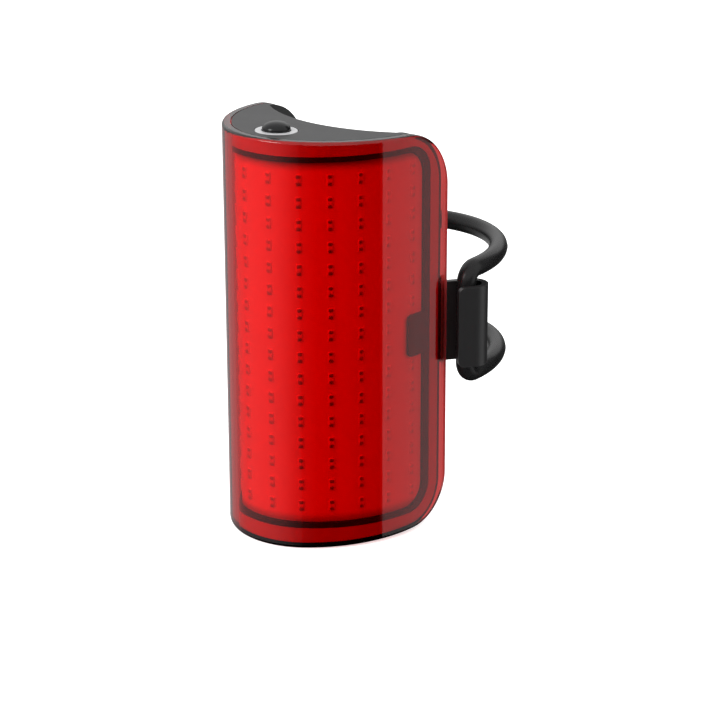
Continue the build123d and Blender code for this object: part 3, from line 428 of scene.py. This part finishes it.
def moulded(name, colour, roughness, worn_lit_edges=None, per_metre=4000.0, depth=0.02, mottle=0.15,
            metallic=0.0, coat=0.0, specular=0.5):
    """A moulded or cast finish: fine grain, its depth in mm, and edges lighter from wear and from
    a painted highlight.
    """
    coat_roughness, worn_lit_width, worn_lit_amount = 0.08, 0.3 * MM, 0.4
    material, tree = new_material(name)
    surface = tree.nodes.new("ShaderNodeBsdfPrincipled")
    surface.inputs["Metallic"].default_value = metallic
    surface.inputs["Coat Weight"].default_value = coat
    surface.inputs["Coat Roughness"].default_value = coat_roughness
    surface.inputs["Specular IOR Level"].default_value = specular
    grain = place_group(tree, moulded_grain(), Color=colour, Roughness=roughness,
                        Grain_per_metre=per_metre, Grain_depth=depth * MM, Mottle=mottle)
    finish = grain
    # Edges painted lighter, partly wear and partly a painted highlight
    if worn_lit_edges:
        finish = place_group(tree, worn_lit_edges_group(), Color=grain.outputs["Color"],
                             Roughness=grain.outputs["Roughness"], Rubbed_color=worn_lit_edges,
                             Width=worn_lit_width, Amount=worn_lit_amount)
    tree.links.new(finish.outputs["Color"], surface.inputs["Base Color"])
    tree.links.new(finish.outputs["Roughness"], surface.inputs["Roughness"])
    tree.links.new(grain.outputs["Normal"], surface.inputs["Normal"])
    tree.links.new(surface.outputs[0], output_of(tree).inputs["Surface"])
    return material


def dress(node, material):
    """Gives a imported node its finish."""
    mesh = NODES[node].data
    mesh.materials.clear()
    mesh.materials.append(material)


# Meshes


def new_piece(name, mesh, body, slot, materials, *stands_for):
    """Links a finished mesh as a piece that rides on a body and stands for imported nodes."""
    piece = bpy.data.objects.new(name, mesh)
    bpy.context.scene.collection.objects.link(piece)
    for material in materials:
        mesh.materials.append(material)
    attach(piece, body)
    if stands_for:
        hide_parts(*stands_for)
    return piece


def mesh_from(name, build, smooth_angle=40.0):
    """Makes a mesh from a bmesh that build fills, with faces smoothed up to an angle."""
    bm = bmesh.new()
    build(bm)
    bmesh.ops.recalc_face_normals(bm, faces=bm.faces)
    mesh = bpy.data.meshes.new(name)
    bm.to_mesh(mesh)
    bm.free()
    mesh.polygons.foreach_set("use_smooth", [True] * len(mesh.polygons))
    mesh.set_sharp_from_angle(angle=math.radians(smooth_angle))
    return mesh


def loft(bm, rings, closed=False):
    """Joins rings of equal length into a skin; caps its ends unless it is closed."""
    made = [[bm.verts.new(point) for point in ring] for ring in rings]
    count = len(made[0])
    spans = len(made) if closed else len(made) - 1
    for i in range(spans):
        first, second = made[i], made[(i + 1) % len(made)]
        for j in range(count):
            k = (j + 1) % count
            bm.faces.new((first[j], first[k], second[k], second[j]))
    if not closed:
        bm.faces.new(made[0][::-1])
        bm.faces.new(made[-1])


def outline_place(settings, arc_length, depth, height):
    """Matrix of a place at a length along the body's side: X along it, Y up, Z outwards."""
    nose_r, side_r = settings.nose_r - depth, settings.side_r - depth
    nose_length, side_length = nose_r * settings.nose_turn, side_r * settings.side_turn
    centre = Vector((0, settings.nose_r - settings.nose_to_post, 0))
    beyond = max(0.0, abs(arc_length) - nose_length - side_length)
    radius, turn = nose_r, abs(arc_length) / nose_r
    if abs(arc_length) > nose_length:
        nose_out = Vector((math.sin(settings.nose_turn), -math.cos(settings.nose_turn), 0))
        centre += nose_out * (nose_r - side_r)
        radius = side_r
        turn = settings.nose_turn + (abs(arc_length) - beyond - nose_length) / side_r
    side = math.copysign(1, arc_length)
    out = Vector((math.sin(turn), -math.cos(turn), 0))
    point = centre + out * radius + Vector((-out.y, out.x, 0)) * beyond
    point = Vector((side * point.x, point.y, height))
    out.x *= side
    along = Vector((-out.y, out.x, 0))
    turned = Matrix((along, Vector((0, 0, 1)), out)).transposed().to_4x4()
    return Matrix.Translation(point) @ turned


def rounded_rectangle(centre, half_size, corner, steps):
    """Points round a rectangle with rounded corners, as pairs."""
    points = []
    for quarter in range(4):
        x = centre[0] + (half_size[0] - corner) * (1 if quarter in (0, 3) else -1)
        y = centre[1] + (half_size[1] - corner) * (1 if quarter in (0, 1) else -1)
        for step in range(steps + 1):
            angle = (quarter + step / steps) * math.pi / 2
            points.append((x + corner * math.cos(angle), y + corner * math.sin(angle)))
    return points


def circle(centre, radius):
    """Points round a circle, as pairs."""
    angles = [side / ROUND_SIDES * math.tau for side in range(ROUND_SIDES)]
    return [(centre[0] + radius * math.cos(angle), centre[1] + radius * math.sin(angle))
            for angle in angles]


def soft_block(bm, place, size, corner, material=0, steps=3):
    """A low block on a place, with rounded corners and a rounded upper edge."""
    width, height, rise = size
    round_r = min(corner, rise)
    cut, least_corner = 0.3 * round_r, 0.2 * corner
    rings = []
    for inset, level in ((0, 0), (0, rise - round_r), (cut, rise - cut), (round_r, rise)):
        half_size = (width / 2 - inset, height / 2 - inset)
        ring_r = max(corner - inset, least_corner)
        rings.append([place @ Vector((x, y, level))
                      for x, y in rounded_rectangle((0, 0), half_size, ring_r, steps)])
    before = len(bm.faces)
    loft(bm, rings)
    bm.faces.ensure_lookup_table()
    for face in bm.faces[before:]:
        face.material_index = material


def direction(azimuth, elevation):
    """The way to a place round the light; azimuth 0 is in front of the lens."""
    return Vector((math.sin(azimuth) * math.cos(elevation),
                   -math.cos(azimuth) * math.cos(elevation), math.sin(elevation)))


class BIKELIGHT_OT_stage(Operator):
    """Adds the camera, the floor, the room's light and the front lamp"""

    bl_idname = "bikelight.stage"
    bl_label = "Stage"

    def execute(self, context):
        settings = context.scene.bikelight_stage
        self.add_camera(context, settings)
        self.add_floor(context)
        self.add_room(context, settings)
        self.add_lamp(context, settings)
        context.scene.view_settings.view_transform = "Standard"
        return {"FINISHED"}

    def add_camera(self, context, settings):
        """The photograph's viewpoint."""
        data = bpy.data.cameras.new("camera")
        data.lens = settings.focal
        data.clip_start = 0.01
        camera = bpy.data.objects.new("camera", data)
        context.scene.collection.objects.link(camera)
        back = direction(settings.azimuth, settings.elevation)
        right = Vector((math.cos(settings.azimuth), math.sin(settings.azimuth), 0))
        up = back.cross(right)
        turn = Matrix.Rotation(settings.roll, 3, back)
        axes = Matrix((turn @ right, turn @ up, back)).transposed().to_4x4()
        camera.matrix_world = Matrix.Translation(settings.camera_place) @ axes
        context.scene.camera = camera

    def add_floor(self, context):
        """A wide pale floor that shows the light's shadow; mirrored rays pass through it."""
        radius, sides, white, glow = 3.0, 64, 0.9, 0.5
        mesh = mesh_from("floor", lambda bm: bmesh.ops.create_circle(
            bm, cap_ends=True, segments=sides, radius=radius,
            matrix=Matrix.Translation((0, 0, CAD_LOW.z))))
        floor = bpy.data.objects.new("floor", mesh)
        context.scene.collection.objects.link(floor)
        material, tree = new_material("pale_floor")
        matte = tree.nodes.new("ShaderNodeBsdfDiffuse")
        matte.inputs["Color"].default_value = (white, white, white, 1)
        lift = tree.nodes.new("ShaderNodeEmission")
        lift.inputs["Strength"].default_value = glow
        clear = tree.nodes.new("ShaderNodeBsdfTransparent")
        path = tree.nodes.new("ShaderNodeLightPath")
        lifted = tree.nodes.new("ShaderNodeAddShader")
        tree.links.new(matte.outputs[0], lifted.inputs[0])
        tree.links.new(lift.outputs[0], lifted.inputs[1])
        seen = blend_shaders(tree, path.outputs["Is Camera Ray"], matte.outputs[0],
                             lifted.outputs[0])
        mirrored = blend_shaders(tree, path.outputs["Is Glossy Ray"], seen, clear.outputs[0])
        tree.links.new(mirrored, output_of(tree).inputs["Surface"])
        mesh.materials.append(material)

    def add_room(self, context, settings):
        """A white backdrop and even light, and a room of its own for mirrored rays.

        Turns are in degrees: 0 is in front of the lens and 90 is +X. Heights are the Z of a
        direction. The room is white above, save at the right rear, and dark below. At +X a
        white wall starts sharply and fades out towards the rear. The left wall is dimmer,
        and so is the front, which fades out towards the camera.
        """
        right_start, right_end, right_level = (101.8, 102.6), (150.0, 138.0), 0.75
        left_start, left_end, left_levels = (-45.0, -62.0), (-165.0, -140.0), (0.05, 0.45)
        front_start, front_end, front_level = (-62.0, -45.0), (46.0, -20.0), 0.55
        wall_foot, above_start = (-0.7, -0.45), (0.05, 0.3)
        rear_start, rear_top, rear_dark = (138.0, 150.0), (0.8, 0.5), 0.85
        through_level, backdrop_level = 0.55, 1.0

        world = bpy.data.worlds.new("studio")
        context.scene.world = world
        world.use_nodes = True
        tree = world.node_tree
        tree.nodes.clear()
        x, y, z = split(tree, tree.nodes.new("ShaderNodeTexCoord").outputs["Generated"])
        turn = calc(tree, "MULTIPLY",
                    calc(tree, "ARCTAN2", x, calc(tree, "MULTIPLY", y, -1.0)),
                    math.degrees(1))
        right = calc(tree, "MULTIPLY", ramp(tree, turn, *right_start),
                     ramp(tree, turn, *right_end, 0.0, right_level))
        left = calc(tree, "MULTIPLY", ramp(tree, turn, *left_start),
                    ramp(tree, turn, *left_end, *left_levels))
        front = calc(tree, "MULTIPLY", ramp(tree, turn, *front_start),
                     ramp(tree, turn, *front_end))
        walls = calc(tree, "ADD", calc(tree, "ADD", right, left),
                     calc(tree, "MULTIPLY", front, front_level))
        walls = calc(tree, "MULTIPLY", walls, ramp(tree, z, *wall_foot))
        dark_rear = calc(tree, "MULTIPLY", ramp(tree, turn, *rear_start, 0.0, rear_dark),
                         ramp(tree, z, *rear_top))
        above = calc(tree, "MULTIPLY", ramp(tree, z, *above_start),
                     calc(tree, "SUBTRACT", 1.0, dark_rear))
        level = calc(tree, "ADD",
                     calc(tree, "MULTIPLY", walls, calc(tree, "SUBTRACT", 1.0, above)),
                     above)
        path = tree.nodes.new("ShaderNodeLightPath")
        # Rays that no matte surface has scattered, and rays that have met a mirror
        clean = calc(tree, "LESS_THAN", path.outputs["Diffuse Depth"], 0.5)
        turned = calc(tree, "GREATER_THAN", path.outputs["Glossy Depth"], 0.5)
        mirrored = calc(tree, "MAXIMUM", path.outputs["Is Glossy Ray"],
                        calc(tree, "MULTIPLY", clean, turned))
        lit = blend(tree, mirrored, settings.room, level)
        through = calc(tree, "MULTIPLY", path.outputs["Is Transmission Ray"],
                       calc(tree, "MULTIPLY", clean, calc(tree, "SUBTRACT", 1.0, turned)))
        behind = blend(tree, through, lit, through_level)
        whole = blend(tree, path.outputs["Is Camera Ray"], behind, backdrop_level)
        sky = tree.nodes.new("ShaderNodeBackground")
        sky.inputs["Color"].default_value = (1, 1, 1, 1)
        tree.links.new(whole, sky.inputs["Strength"])
        out = tree.nodes.new("ShaderNodeOutputWorld")
        tree.links.new(sky.outputs[0], out.inputs["Surface"])

    def add_lamp(self, context, settings):
        """A broad lamp in front, to the left and above."""
        azimuth, elevation = math.radians(-12), math.radians(32)
        size, distance, aim = 0.35, 0.7, Vector((0, -0.03, 0))
        way = direction(azimuth, elevation)
        data = bpy.data.lights.new("front_lamp", "AREA")
        data.shape = "DISK"
        data.size = size
        data.energy = settings.key
        lamp = bpy.data.objects.new("front_lamp", data)
        context.scene.collection.objects.link(lamp)
        lamp.location = aim + way * distance
        lamp.rotation_euler = way.to_track_quat("Z", "Y").to_euler()


class BIKELIGHT_OT_lens(Operator):
    """Dresses the clear red cover and the body around it"""

    bl_idname = "bikelight.lens"
    bl_label = "Lens and body"

    def execute(self, context):
        dress("lens_cover", self.clear_red(context.scene.bikelight_lens))
        dress("lens_bond", moulded("bond_red", (0.5, 0.02, 0.02), 0.35, per_metre=2500,
                                   depth=0.004))
        # Their lighter edge colours are partly wear and partly a painted highlight
        dress("main_housing", moulded("housing_grey", (0.02, 0.02, 0.0205), 0.45,
                                      worn_lit_edges=(0.13, 0.13, 0.13), depth=0.012,
                                      specular=0.4))
        dress("back_cover", moulded("cover_grey", (0.036, 0.036, 0.037), 0.5,
                                    worn_lit_edges=(0.12, 0.12, 0.12), depth=0.02))
        return {"FINISHED"}

    def clear_red(self, settings):
        """Polished clear plastic, red right through, with a trace of handling.

        Its lower edge is dark, its back edge is frosted, and lamp light passes it softly.
        """
        acrylic_ior = 1.49
        smear_scale, smear_detail, smear_limits = 90.0, 4.0, (0.5, 0.8)
        smear_roughness, frost_roughness = (0.015, 0.05), 0.6
        material, tree = new_material("clear_red")
        surface = tree.nodes.new("ShaderNodeBsdfPrincipled")
        surface.inputs["IOR"].default_value = acrylic_ior
        surface.inputs["Transmission Weight"].default_value = 1.0
        place = tree.nodes.new("ShaderNodeTexCoord").outputs["Object"]
        _, y, z = split(tree, place)
        depth = calc(tree, "SUBTRACT", y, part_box("lens_cover")[0][1])
        low = calc(tree, "SUBTRACT",
                   calc(tree, "MULTIPLY", depth, math.tan(settings.end_slope)), z)
        rim = ramp(tree, low, settings.rim_start, settings.rim_end)
        tint = blend_colour(tree, rim, tuple(settings.tint), tuple(settings.rim_tint))
        tree.links.new(tint, surface.inputs["Base Color"])
        smear = ramp(tree, noise(tree, place, smear_scale, smear_detail), *smear_limits,
                     *smear_roughness)
        frost = ramp(tree, depth, settings.frost_start, settings.frost_end, 0.0,
                     frost_roughness)
        tree.links.new(calc(tree, "ADD", smear, frost), surface.inputs["Roughness"])
        lamp_light = tree.nodes.new("ShaderNodeBsdfTransparent")
        lamp_light.inputs["Color"].default_value = (*settings.shadow_tint, 1)
        path = tree.nodes.new("ShaderNodeLightPath")
        whole = blend_shaders(tree, path.outputs["Is Shadow Ray"], surface.outputs[0],
                              lamp_light.outputs[0])
        tree.links.new(whole, output_of(tree).inputs["Surface"])
        return material


class BIKELIGHT_OT_panel(Operator):
    """Builds the rows of lamps and dresses the lit panel and its dark frame"""

    bl_idname = "bikelight.panel"
    bl_label = "Lit panel"

    def execute(self, context):
        outline, panel = context.scene.bikelight_lens, context.scene.bikelight_panel
        red = moulded("panel_red", tuple(panel.red), 0.45, per_metre=2500, depth=0.004,
                      mottle=0.06)
        # Painted shade: the frame's shadow is painted into the panel's red near its ends
        self.paint_end_shade(red.node_tree, panel)
        dark = moulded("window_dark", (0.75, 0.10, 0.08), 0.35, per_metre=6000, depth=0.004,
                       metallic=1)
        dress("led_board", red)
        dress("panel_bezel", moulded("frame_black", (0.012, 0.011, 0.011), 0.5, depth=0.01))

        block_corner, window_corner = 0.25 * MM, 0.3 * MM
        window_level = panel.block_rise * 0.9
        block_size = (panel.block_width, panel.block_height, panel.block_rise)
        window_size = (panel.window_width, panel.window_height, panel.block_rise * 0.2)

        def build(bm):
            for column in range(panel.columns):
                along = (column - (panel.columns - 1) / 2) * panel.column_pitch
                for row in range(panel.rows):
                    height = (row - (panel.rows - 1) / 2) * panel.row_pitch
                    height += panel.rows_raise
                    place = outline_place(outline, along, panel.board_depth, height)
                    soft_block(bm, place, block_size, block_corner)
                    for half in (-0.5, 0.5):
                        window = place @ Matrix.Translation(
                            (0, half * panel.window_pitch, window_level))
                        soft_block(bm, window, window_size, window_corner, material=1)

        mesh = mesh_from("lamp_rows", build)
        new_piece("lamp_rows", mesh, "light", "chip_dark", (red, dark), "led_chips")
        return {"FINISHED"}

    def paint_end_shade(self, tree, panel):
        """Paints shade into the panel's red, softly darker towards its upper and lower ends, for
        the frame's shadow.
        """
        darkest = 0.4
        z = split(tree, tree.nodes.new("ShaderNodeTexCoord").outputs["Object"])[2]
        height = calc(tree, "ABSOLUTE", calc(tree, "SUBTRACT", z, panel.rows_raise))
        # Painted shade: the red is darkened by height alone, standing for the frame's shadow
        level = ramp(tree, height, panel.painted_shade_start, panel.painted_shade_end, 1.0, darkest)
        surface = next(n for n in tree.nodes if n.type == "BSDF_PRINCIPLED")
        source = surface.inputs["Base Color"].links[0].from_socket
        tree.links.new(shade(tree, source, level), surface.inputs["Base Color"])


class BIKELIGHT_OT_button(Operator):
    """Dresses the button, its ring and what lies under them"""

    bl_idname = "bikelight.button"
    bl_label = "Button"

    def execute(self, context):
        dress("button_cap", moulded("button_black", (0.006, 0.006, 0.0065), 0.14,
                                    per_metre=5000, depth=0.002, specular=0.3))
        dress("light_ring", moulded("ring_frosted", (0.45, 0.45, 0.46), 0.3,
                                    per_metre=5000, depth=0.004, coat=0.3))
        dress("button_seal", moulded("seal_grey", (0.1, 0.1, 0.1), 0.7))
        dress("switch_body", moulded("switch_plate", (0.55, 0.55, 0.56), 0.35, metallic=1))
        dress("switch_plunger", moulded("plunger_black", (0.02, 0.02, 0.02), 0.5))
        dress("ring_leds", moulded("led_resin", (0.75, 0.72, 0.5), 0.25))
        return {"FINISHED"}


class BIKELIGHT_OT_strap(Operator):
    """Builds the elastic strap and dresses the hooked bracket"""

    bl_idname = "bikelight.strap"
    bl_label = "Strap and bracket"

    def execute(self, context):
        settings = context.scene.bikelight_strap
        # Its lighter edge colour is partly wear and partly a painted highlight
        dress("strap_bracket", moulded("bracket_black", (0.012, 0.012, 0.0125), 0.36,
                                       worn_lit_edges=(0.05, 0.05, 0.05), per_metre=3500,
                                       depth=0.012))
        line = self.centre_line(settings)

        def build(bm):
            loft(bm, self.sections(settings, line), closed=True)

        rubber = moulded("strap_rubber", (0.008, 0.008, 0.0083), 0.27, per_metre=3000,
                         depth=0.006, mottle=0.3, specular=0.25)
        mesh = mesh_from("strap_band", build, smooth_angle=70.0)
        new_piece("strap_band", mesh, "light", "strap_rubber", (rubber,), "strap_loop")
        return {"FINISHED"}

    def centre_line(self, settings):
        """Points of the strap's closed centre line, read from one smooth curve."""
        lean, bend = settings.lean, settings.bend_r
        hook = Vector((settings.hook_x, -settings.hook_to_post, 0))
        away = Vector((-math.sin(lean), math.cos(lean), 0))
        low = hook + Vector((0, 0, settings.rise - bend))
        high = low + away * bend + Vector((0, 0, bend))
        start = math.atan(math.tan(lean) * settings.stretch)
        loop_r = high.x / math.cos(start)
        long_r = settings.stretch * loop_r
        apex = Vector((0, high.y + long_r * (1 - math.sin(start)), settings.rise))
        bend_reach = self.handle(math.pi / 2) * bend
        apex_reach = self.handle(math.pi / 2 - start) * loop_r
        loop_reach = apex_reach * math.hypot(math.sin(start), settings.stretch * math.cos(start))
        up = Vector((0, 0, 1))
        quarter = [(low, up, bend / 2, bend_reach), (high, away, bend_reach, loop_reach)]
        flip_x, flip_z = Vector((-1, 1, 1)), Vector((1, 1, -1))
        stops = [*quarter, (apex, Vector((-1, 0, 0)), apex_reach, apex_reach)]
        stops += [(point * flip_x, -(way * flip_x), after, before)
                  for point, way, before, after in reversed(quarter)]
        stops += [(point * flip_z, -(way * flip_z), after, before)
                  for point, way, before, after in reversed(stops)]
        curve = bpy.data.curves.new("strap_line", "CURVE")
        curve.dimensions = "3D"
        curve.resolution_u = STRAP_STEPS
        spline = curve.splines.new("BEZIER")
        spline.bezier_points.add(len(stops) - 1)
        spline.use_cyclic_u = True
        for stop, (point, way, before, after) in zip(spline.bezier_points, stops):
            stop.co = point
            stop.handle_left = point - way * before
            stop.handle_right = point + way * after
        carrier = bpy.data.objects.new("strap_line", curve)
        line = bpy.data.meshes.new_from_object(carrier)
        points = [v.co.copy() for v in line.vertices]
        bpy.data.objects.remove(carrier)
        bpy.data.meshes.remove(line)
        return points

    def handle(self, turn):
        """Length of a curve's handle on an arc, as a share of the arc's radius."""
        return 4 / 3 * math.tan(turn / 4)

    def sections(self, settings, line):
        """Round sections along the line, each with a fine mould line on two sides."""
        count = len(line)
        rings = []
        for i, point in enumerate(line):
            way = (line[(i + 1) % count] - line[i - 1]).normalized()
            outwards = Vector((point.x, point.y + settings.hook_to_post, 0)).normalized()
            across = (outwards - way * outwards.dot(way)).normalized()
            third = way.cross(across)
            ring = []
            for j in range(STRAP_SIDES):
                angle = 2 * math.pi * j / STRAP_SIDES
                ridge = settings.seam if j % (STRAP_SIDES // 2) == 0 else 0
                radius = settings.cord_r - settings.seam + ridge
                ring.append(point + across * radius * math.cos(angle)
                            + third * radius * math.sin(angle))
            rings.append(ring)
        return rings


class BIKELIGHT_OT_rubber(Operator):
    """Builds the ribbed grip pad and the port's rubber flap"""

    bl_idname = "bikelight.rubber"
    bl_label = "Pad and flap"

    def execute(self, context):
        settings = context.scene.bikelight_rubber
        rubber = moulded("pad_rubber", (0.022, 0.022, 0.022), 0.62, per_metre=2500, depth=0.02)
        new_piece("grip_pad", self.pad(settings), "light", "pad_rubber", (rubber,), "post_pad")
        flap = moulded("flap_rubber", (0.028, 0.028, 0.028), 0.6, per_metre=2500, depth=0.02)
        new_piece("port_flap", self.flap(settings), "flap", "flap_rubber", (flap,),
                  "port_cover")
        new_piece("flap_root", self.root(), "light", "flap_rubber", (flap,),
                  "port_cover_root")
        return {"FINISHED"}

    def pad(self, settings):
        """Arc pad against the post, grooved along the post, with softened ends."""
        half_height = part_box("post_pad")[1].z
        steps = settings.pad_ribs * PAD_STEPS_PER_RIB
        soft = PAD_SOFT

        def build(bm):
            rings = []
            for i in range(steps + 1):
                turn = -PAD_HALF_ANGLE + 2 * PAD_HALF_ANGLE * i / steps
                phase = abs(math.sin(math.pi * settings.pad_ribs * (i / steps)))
                depth = settings.groove_depth * (1 - min(1, PAD_GROOVE_STEEPNESS * phase))
                end = min(i, steps - i) / steps * 2 * PAD_HALF_ANGLE * PAD_INNER_R
                trim = soft - math.sqrt(max(soft**2 - max(soft - end, 0)**2, 0))
                near, far = PAD_INNER_R + depth + trim, PAD_OUTER_R - trim
                way = Vector((math.sin(turn), -math.cos(turn), 0))
                ring = []
                for radius, level in ((near + soft, -half_height), (far - soft, -half_height),
                                      (far, soft - half_height), (far, half_height - soft),
                                      (far - soft, half_height), (near + soft, half_height),
                                      (near, half_height - soft), (near, soft - half_height)):
                    ring.append(way * radius + Vector((0, 0, level)))
                rings.append(ring)
            loft(bm, rings)

        return mesh_from("grip_pad", build, smooth_angle=30.0)

    def crowned_slab(self, bm, low, high, edge, crown):
        """A slab across Y between two corners, with soft edges and a swollen rear face."""
        profile = ((0, 0), (0, 0.35), (0, 0.75), (0.5, 0.93), (1, 1))  # share of edge, of depth
        swelling = (0.75, 0.5, 0.25)  # shares of the rear face's width
        size = high - low
        middle = (low + high) / 2
        rings = []
        for share, level in profile:
            inset = edge * share
            corner = max(SLAB_CORNER_R - inset, SLAB_LEAST_CORNER_R)
            y = low.y + (size.y - crown) * level
            rings.append([Vector((x, y, z)) for x, z in rounded_rectangle(
                (middle.x, middle.z), (size.x / 2 - inset, size.z / 2 - inset), corner,
                SLAB_STEPS)])
        rear = rings[-1]
        for share in swelling:
            y = high.y - crown + crown * (1 - share**2)
            rings.append([Vector((middle.x + (p.x - middle.x) * share, y,
                                  middle.z + (p.z - middle.z) * share)) for p in rear])
        loft(bm, rings)

    def flap(self, settings):
        """Swollen flap with its hinge bead and its plug."""
        low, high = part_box("port_cover")
        back = high.y

        def build(bm):
            slab_low = Vector((low.x, back - FLAP_THICKNESS, low.z))
            slab_high = Vector((high.x, back, high.z - BEAD_R))
            self.crowned_slab(bm, slab_low, slab_high, FLAP_EDGE, settings.flap_crown)
            rings = []
            for x, radius in ((low.x, BEAD_END_R), (low.x + BEAD_END_LENGTH, BEAD_R),
                              (high.x - BEAD_END_LENGTH, BEAD_R), (high.x, BEAD_END_R)):
                rings.append([Vector((x, y, z))
                              for y, z in circle((back - BEAD_R, high.z - BEAD_R), radius)])
            loft(bm, rings)
            place = Matrix.Translation((0, back - FLAP_THICKNESS, low.z + PLUG_RAISE))
            place @= Matrix.Rotation(math.pi / 2, 4, "X")
            soft_block(bm, place, PLUG_SIZE, PLUG_CORNER_R, steps=6)

        return mesh_from("port_flap", build, smooth_angle=35.0)

    def root(self):
        """Fixed root of the flap with its peg through the cover."""
        low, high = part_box("port_cover_root")
        peg = ((PEG_TIP_R, low.y), (PEG_HEAD_R, low.y + PEG_TIP_LENGTH),
               (PEG_HEAD_R, low.y + PEG_HEAD_LENGTH), (PEG_NECK_R, low.y + PEG_HEAD_LENGTH),
               (PEG_NECK_R, high.y - PEG_NECK_INSET))

        def build(bm):
            slab_low = Vector((low.x, high.y - ROOT_THICKNESS, low.z))
            self.crowned_slab(bm, slab_low, high, ROOT_EDGE, ROOT_CROWN)
            middle = (low.z + high.z) / 2
            loft(bm, [[Vector((x, y, z)) for x, z in circle((0, middle), radius)]
                      for radius, y in peg])

        return mesh_from("flap_root", build, smooth_angle=35.0)


class BIKELIGHT_OT_inside(Operator):
    """Dresses the screws, the port, the boards and the cell"""

    bl_idname = "bikelight.inside"
    bl_label = "Screws and inside"

    def execute(self, context):
        # Its lighter edge colour is partly wear and partly a painted highlight
        steel = moulded("screw_steel", (0.32, 0.32, 0.33), 0.35, worn_lit_edges=(0.5, 0.5, 0.5),
                        metallic=1, depth=0.004)
        brass = moulded("insert_brass", (0.65, 0.45, 0.18), 0.35, metallic=1, depth=0.004)
        plated = moulded("port_metal", (0.6, 0.6, 0.6), 0.25, metallic=1, depth=0.002)
        board = moulded("board_green", (0.02, 0.11, 0.05), 0.35, per_metre=2500, coat=0.3)
        black = moulded("part_black", (0.025, 0.025, 0.026), 0.55)
        white = moulded("socket_white", (0.7, 0.68, 0.6), 0.5)
        dark_seal = moulded("gasket_grey", (0.09, 0.09, 0.09), 0.75)
        for node, finish in {
            "cover_screws": steel, "bracket_screws": steel, "bracket_inserts": brass,
            "charge_port": plated, "port_tongue": black, "main_board": board,
            "button_board": board, "board_parts": black, "lead_socket": white,
            "flex_socket": white, "cover_seal": dark_seal,
            "board_pins": moulded("pin_plating", (0.75, 0.6, 0.3), 0.3, metallic=1),
            "battery_cell": moulded("cell_foil", (0.5, 0.5, 0.52), 0.3, metallic=1,
                                    per_metre=800, depth=0.03),
            "battery_foam": moulded("foam_grey", (0.16, 0.16, 0.16), 0.9, per_metre=1500,
                                    depth=0.1),
            "battery_leads": moulded("lead_red", (0.45, 0.02, 0.015), 0.5),
            "flex_cable": moulded("ribbon_amber", (0.45, 0.16, 0.02), 0.3, coat=0.3),
        }.items():
            dress(node, finish)
        return {"FINISHED"}


OPERATORS = (
    BIKELIGHT_OT_stage,
    BIKELIGHT_OT_lens,
    BIKELIGHT_OT_panel,
    BIKELIGHT_OT_button,
    BIKELIGHT_OT_strap,
    BIKELIGHT_OT_rubber,
    BIKELIGHT_OT_inside,
)

SETTINGS = {
    "bikelight_lens": LensSettings,
    "bikelight_panel": PanelSettings,
    "bikelight_strap": StrapSettings,
    "bikelight_rubber": RubberSettings,
    "bikelight_stage": StageSettings,
}


class BIKELIGHT_PT_sidebar(Panel):
    """Lists the pieces of the light"""

    bl_idname = "BIKELIGHT_PT_sidebar"
    bl_label = "Bike light"
    bl_space_type = "VIEW_3D"
    bl_region_type = "UI"
    bl_category = "Bike light"

    def draw(self, context):
        for operator in OPERATORS:
            self.layout.operator(operator.bl_idname)


def register():
    """Registers the settings, the operators and the panel."""
    for name, settings in SETTINGS.items():
        bpy.utils.register_class(settings)
        setattr(bpy.types.Scene, name, PointerProperty(type=settings))
    for item in (*OPERATORS, BIKELIGHT_PT_sidebar):
        bpy.utils.register_class(item)


def unregister():
    """Removes what register added."""
    for item in (BIKELIGHT_PT_sidebar, *reversed(OPERATORS)):
        bpy.utils.unregister_class(item)
    for name, settings in reversed(SETTINGS.items()):
        delattr(bpy.types.Scene, name)
        bpy.utils.unregister_class(settings)


def main():
    register()
    bpy.ops.bikelight.stage()
    bpy.ops.bikelight.lens()
    bpy.ops.bikelight.panel()
    bpy.ops.bikelight.button()
    bpy.ops.bikelight.strap()
    bpy.ops.bikelight.rubber()
    bpy.ops.bikelight.inside()
    bpy.context.view_layer.update()


if __name__ == "__main__":
    main()
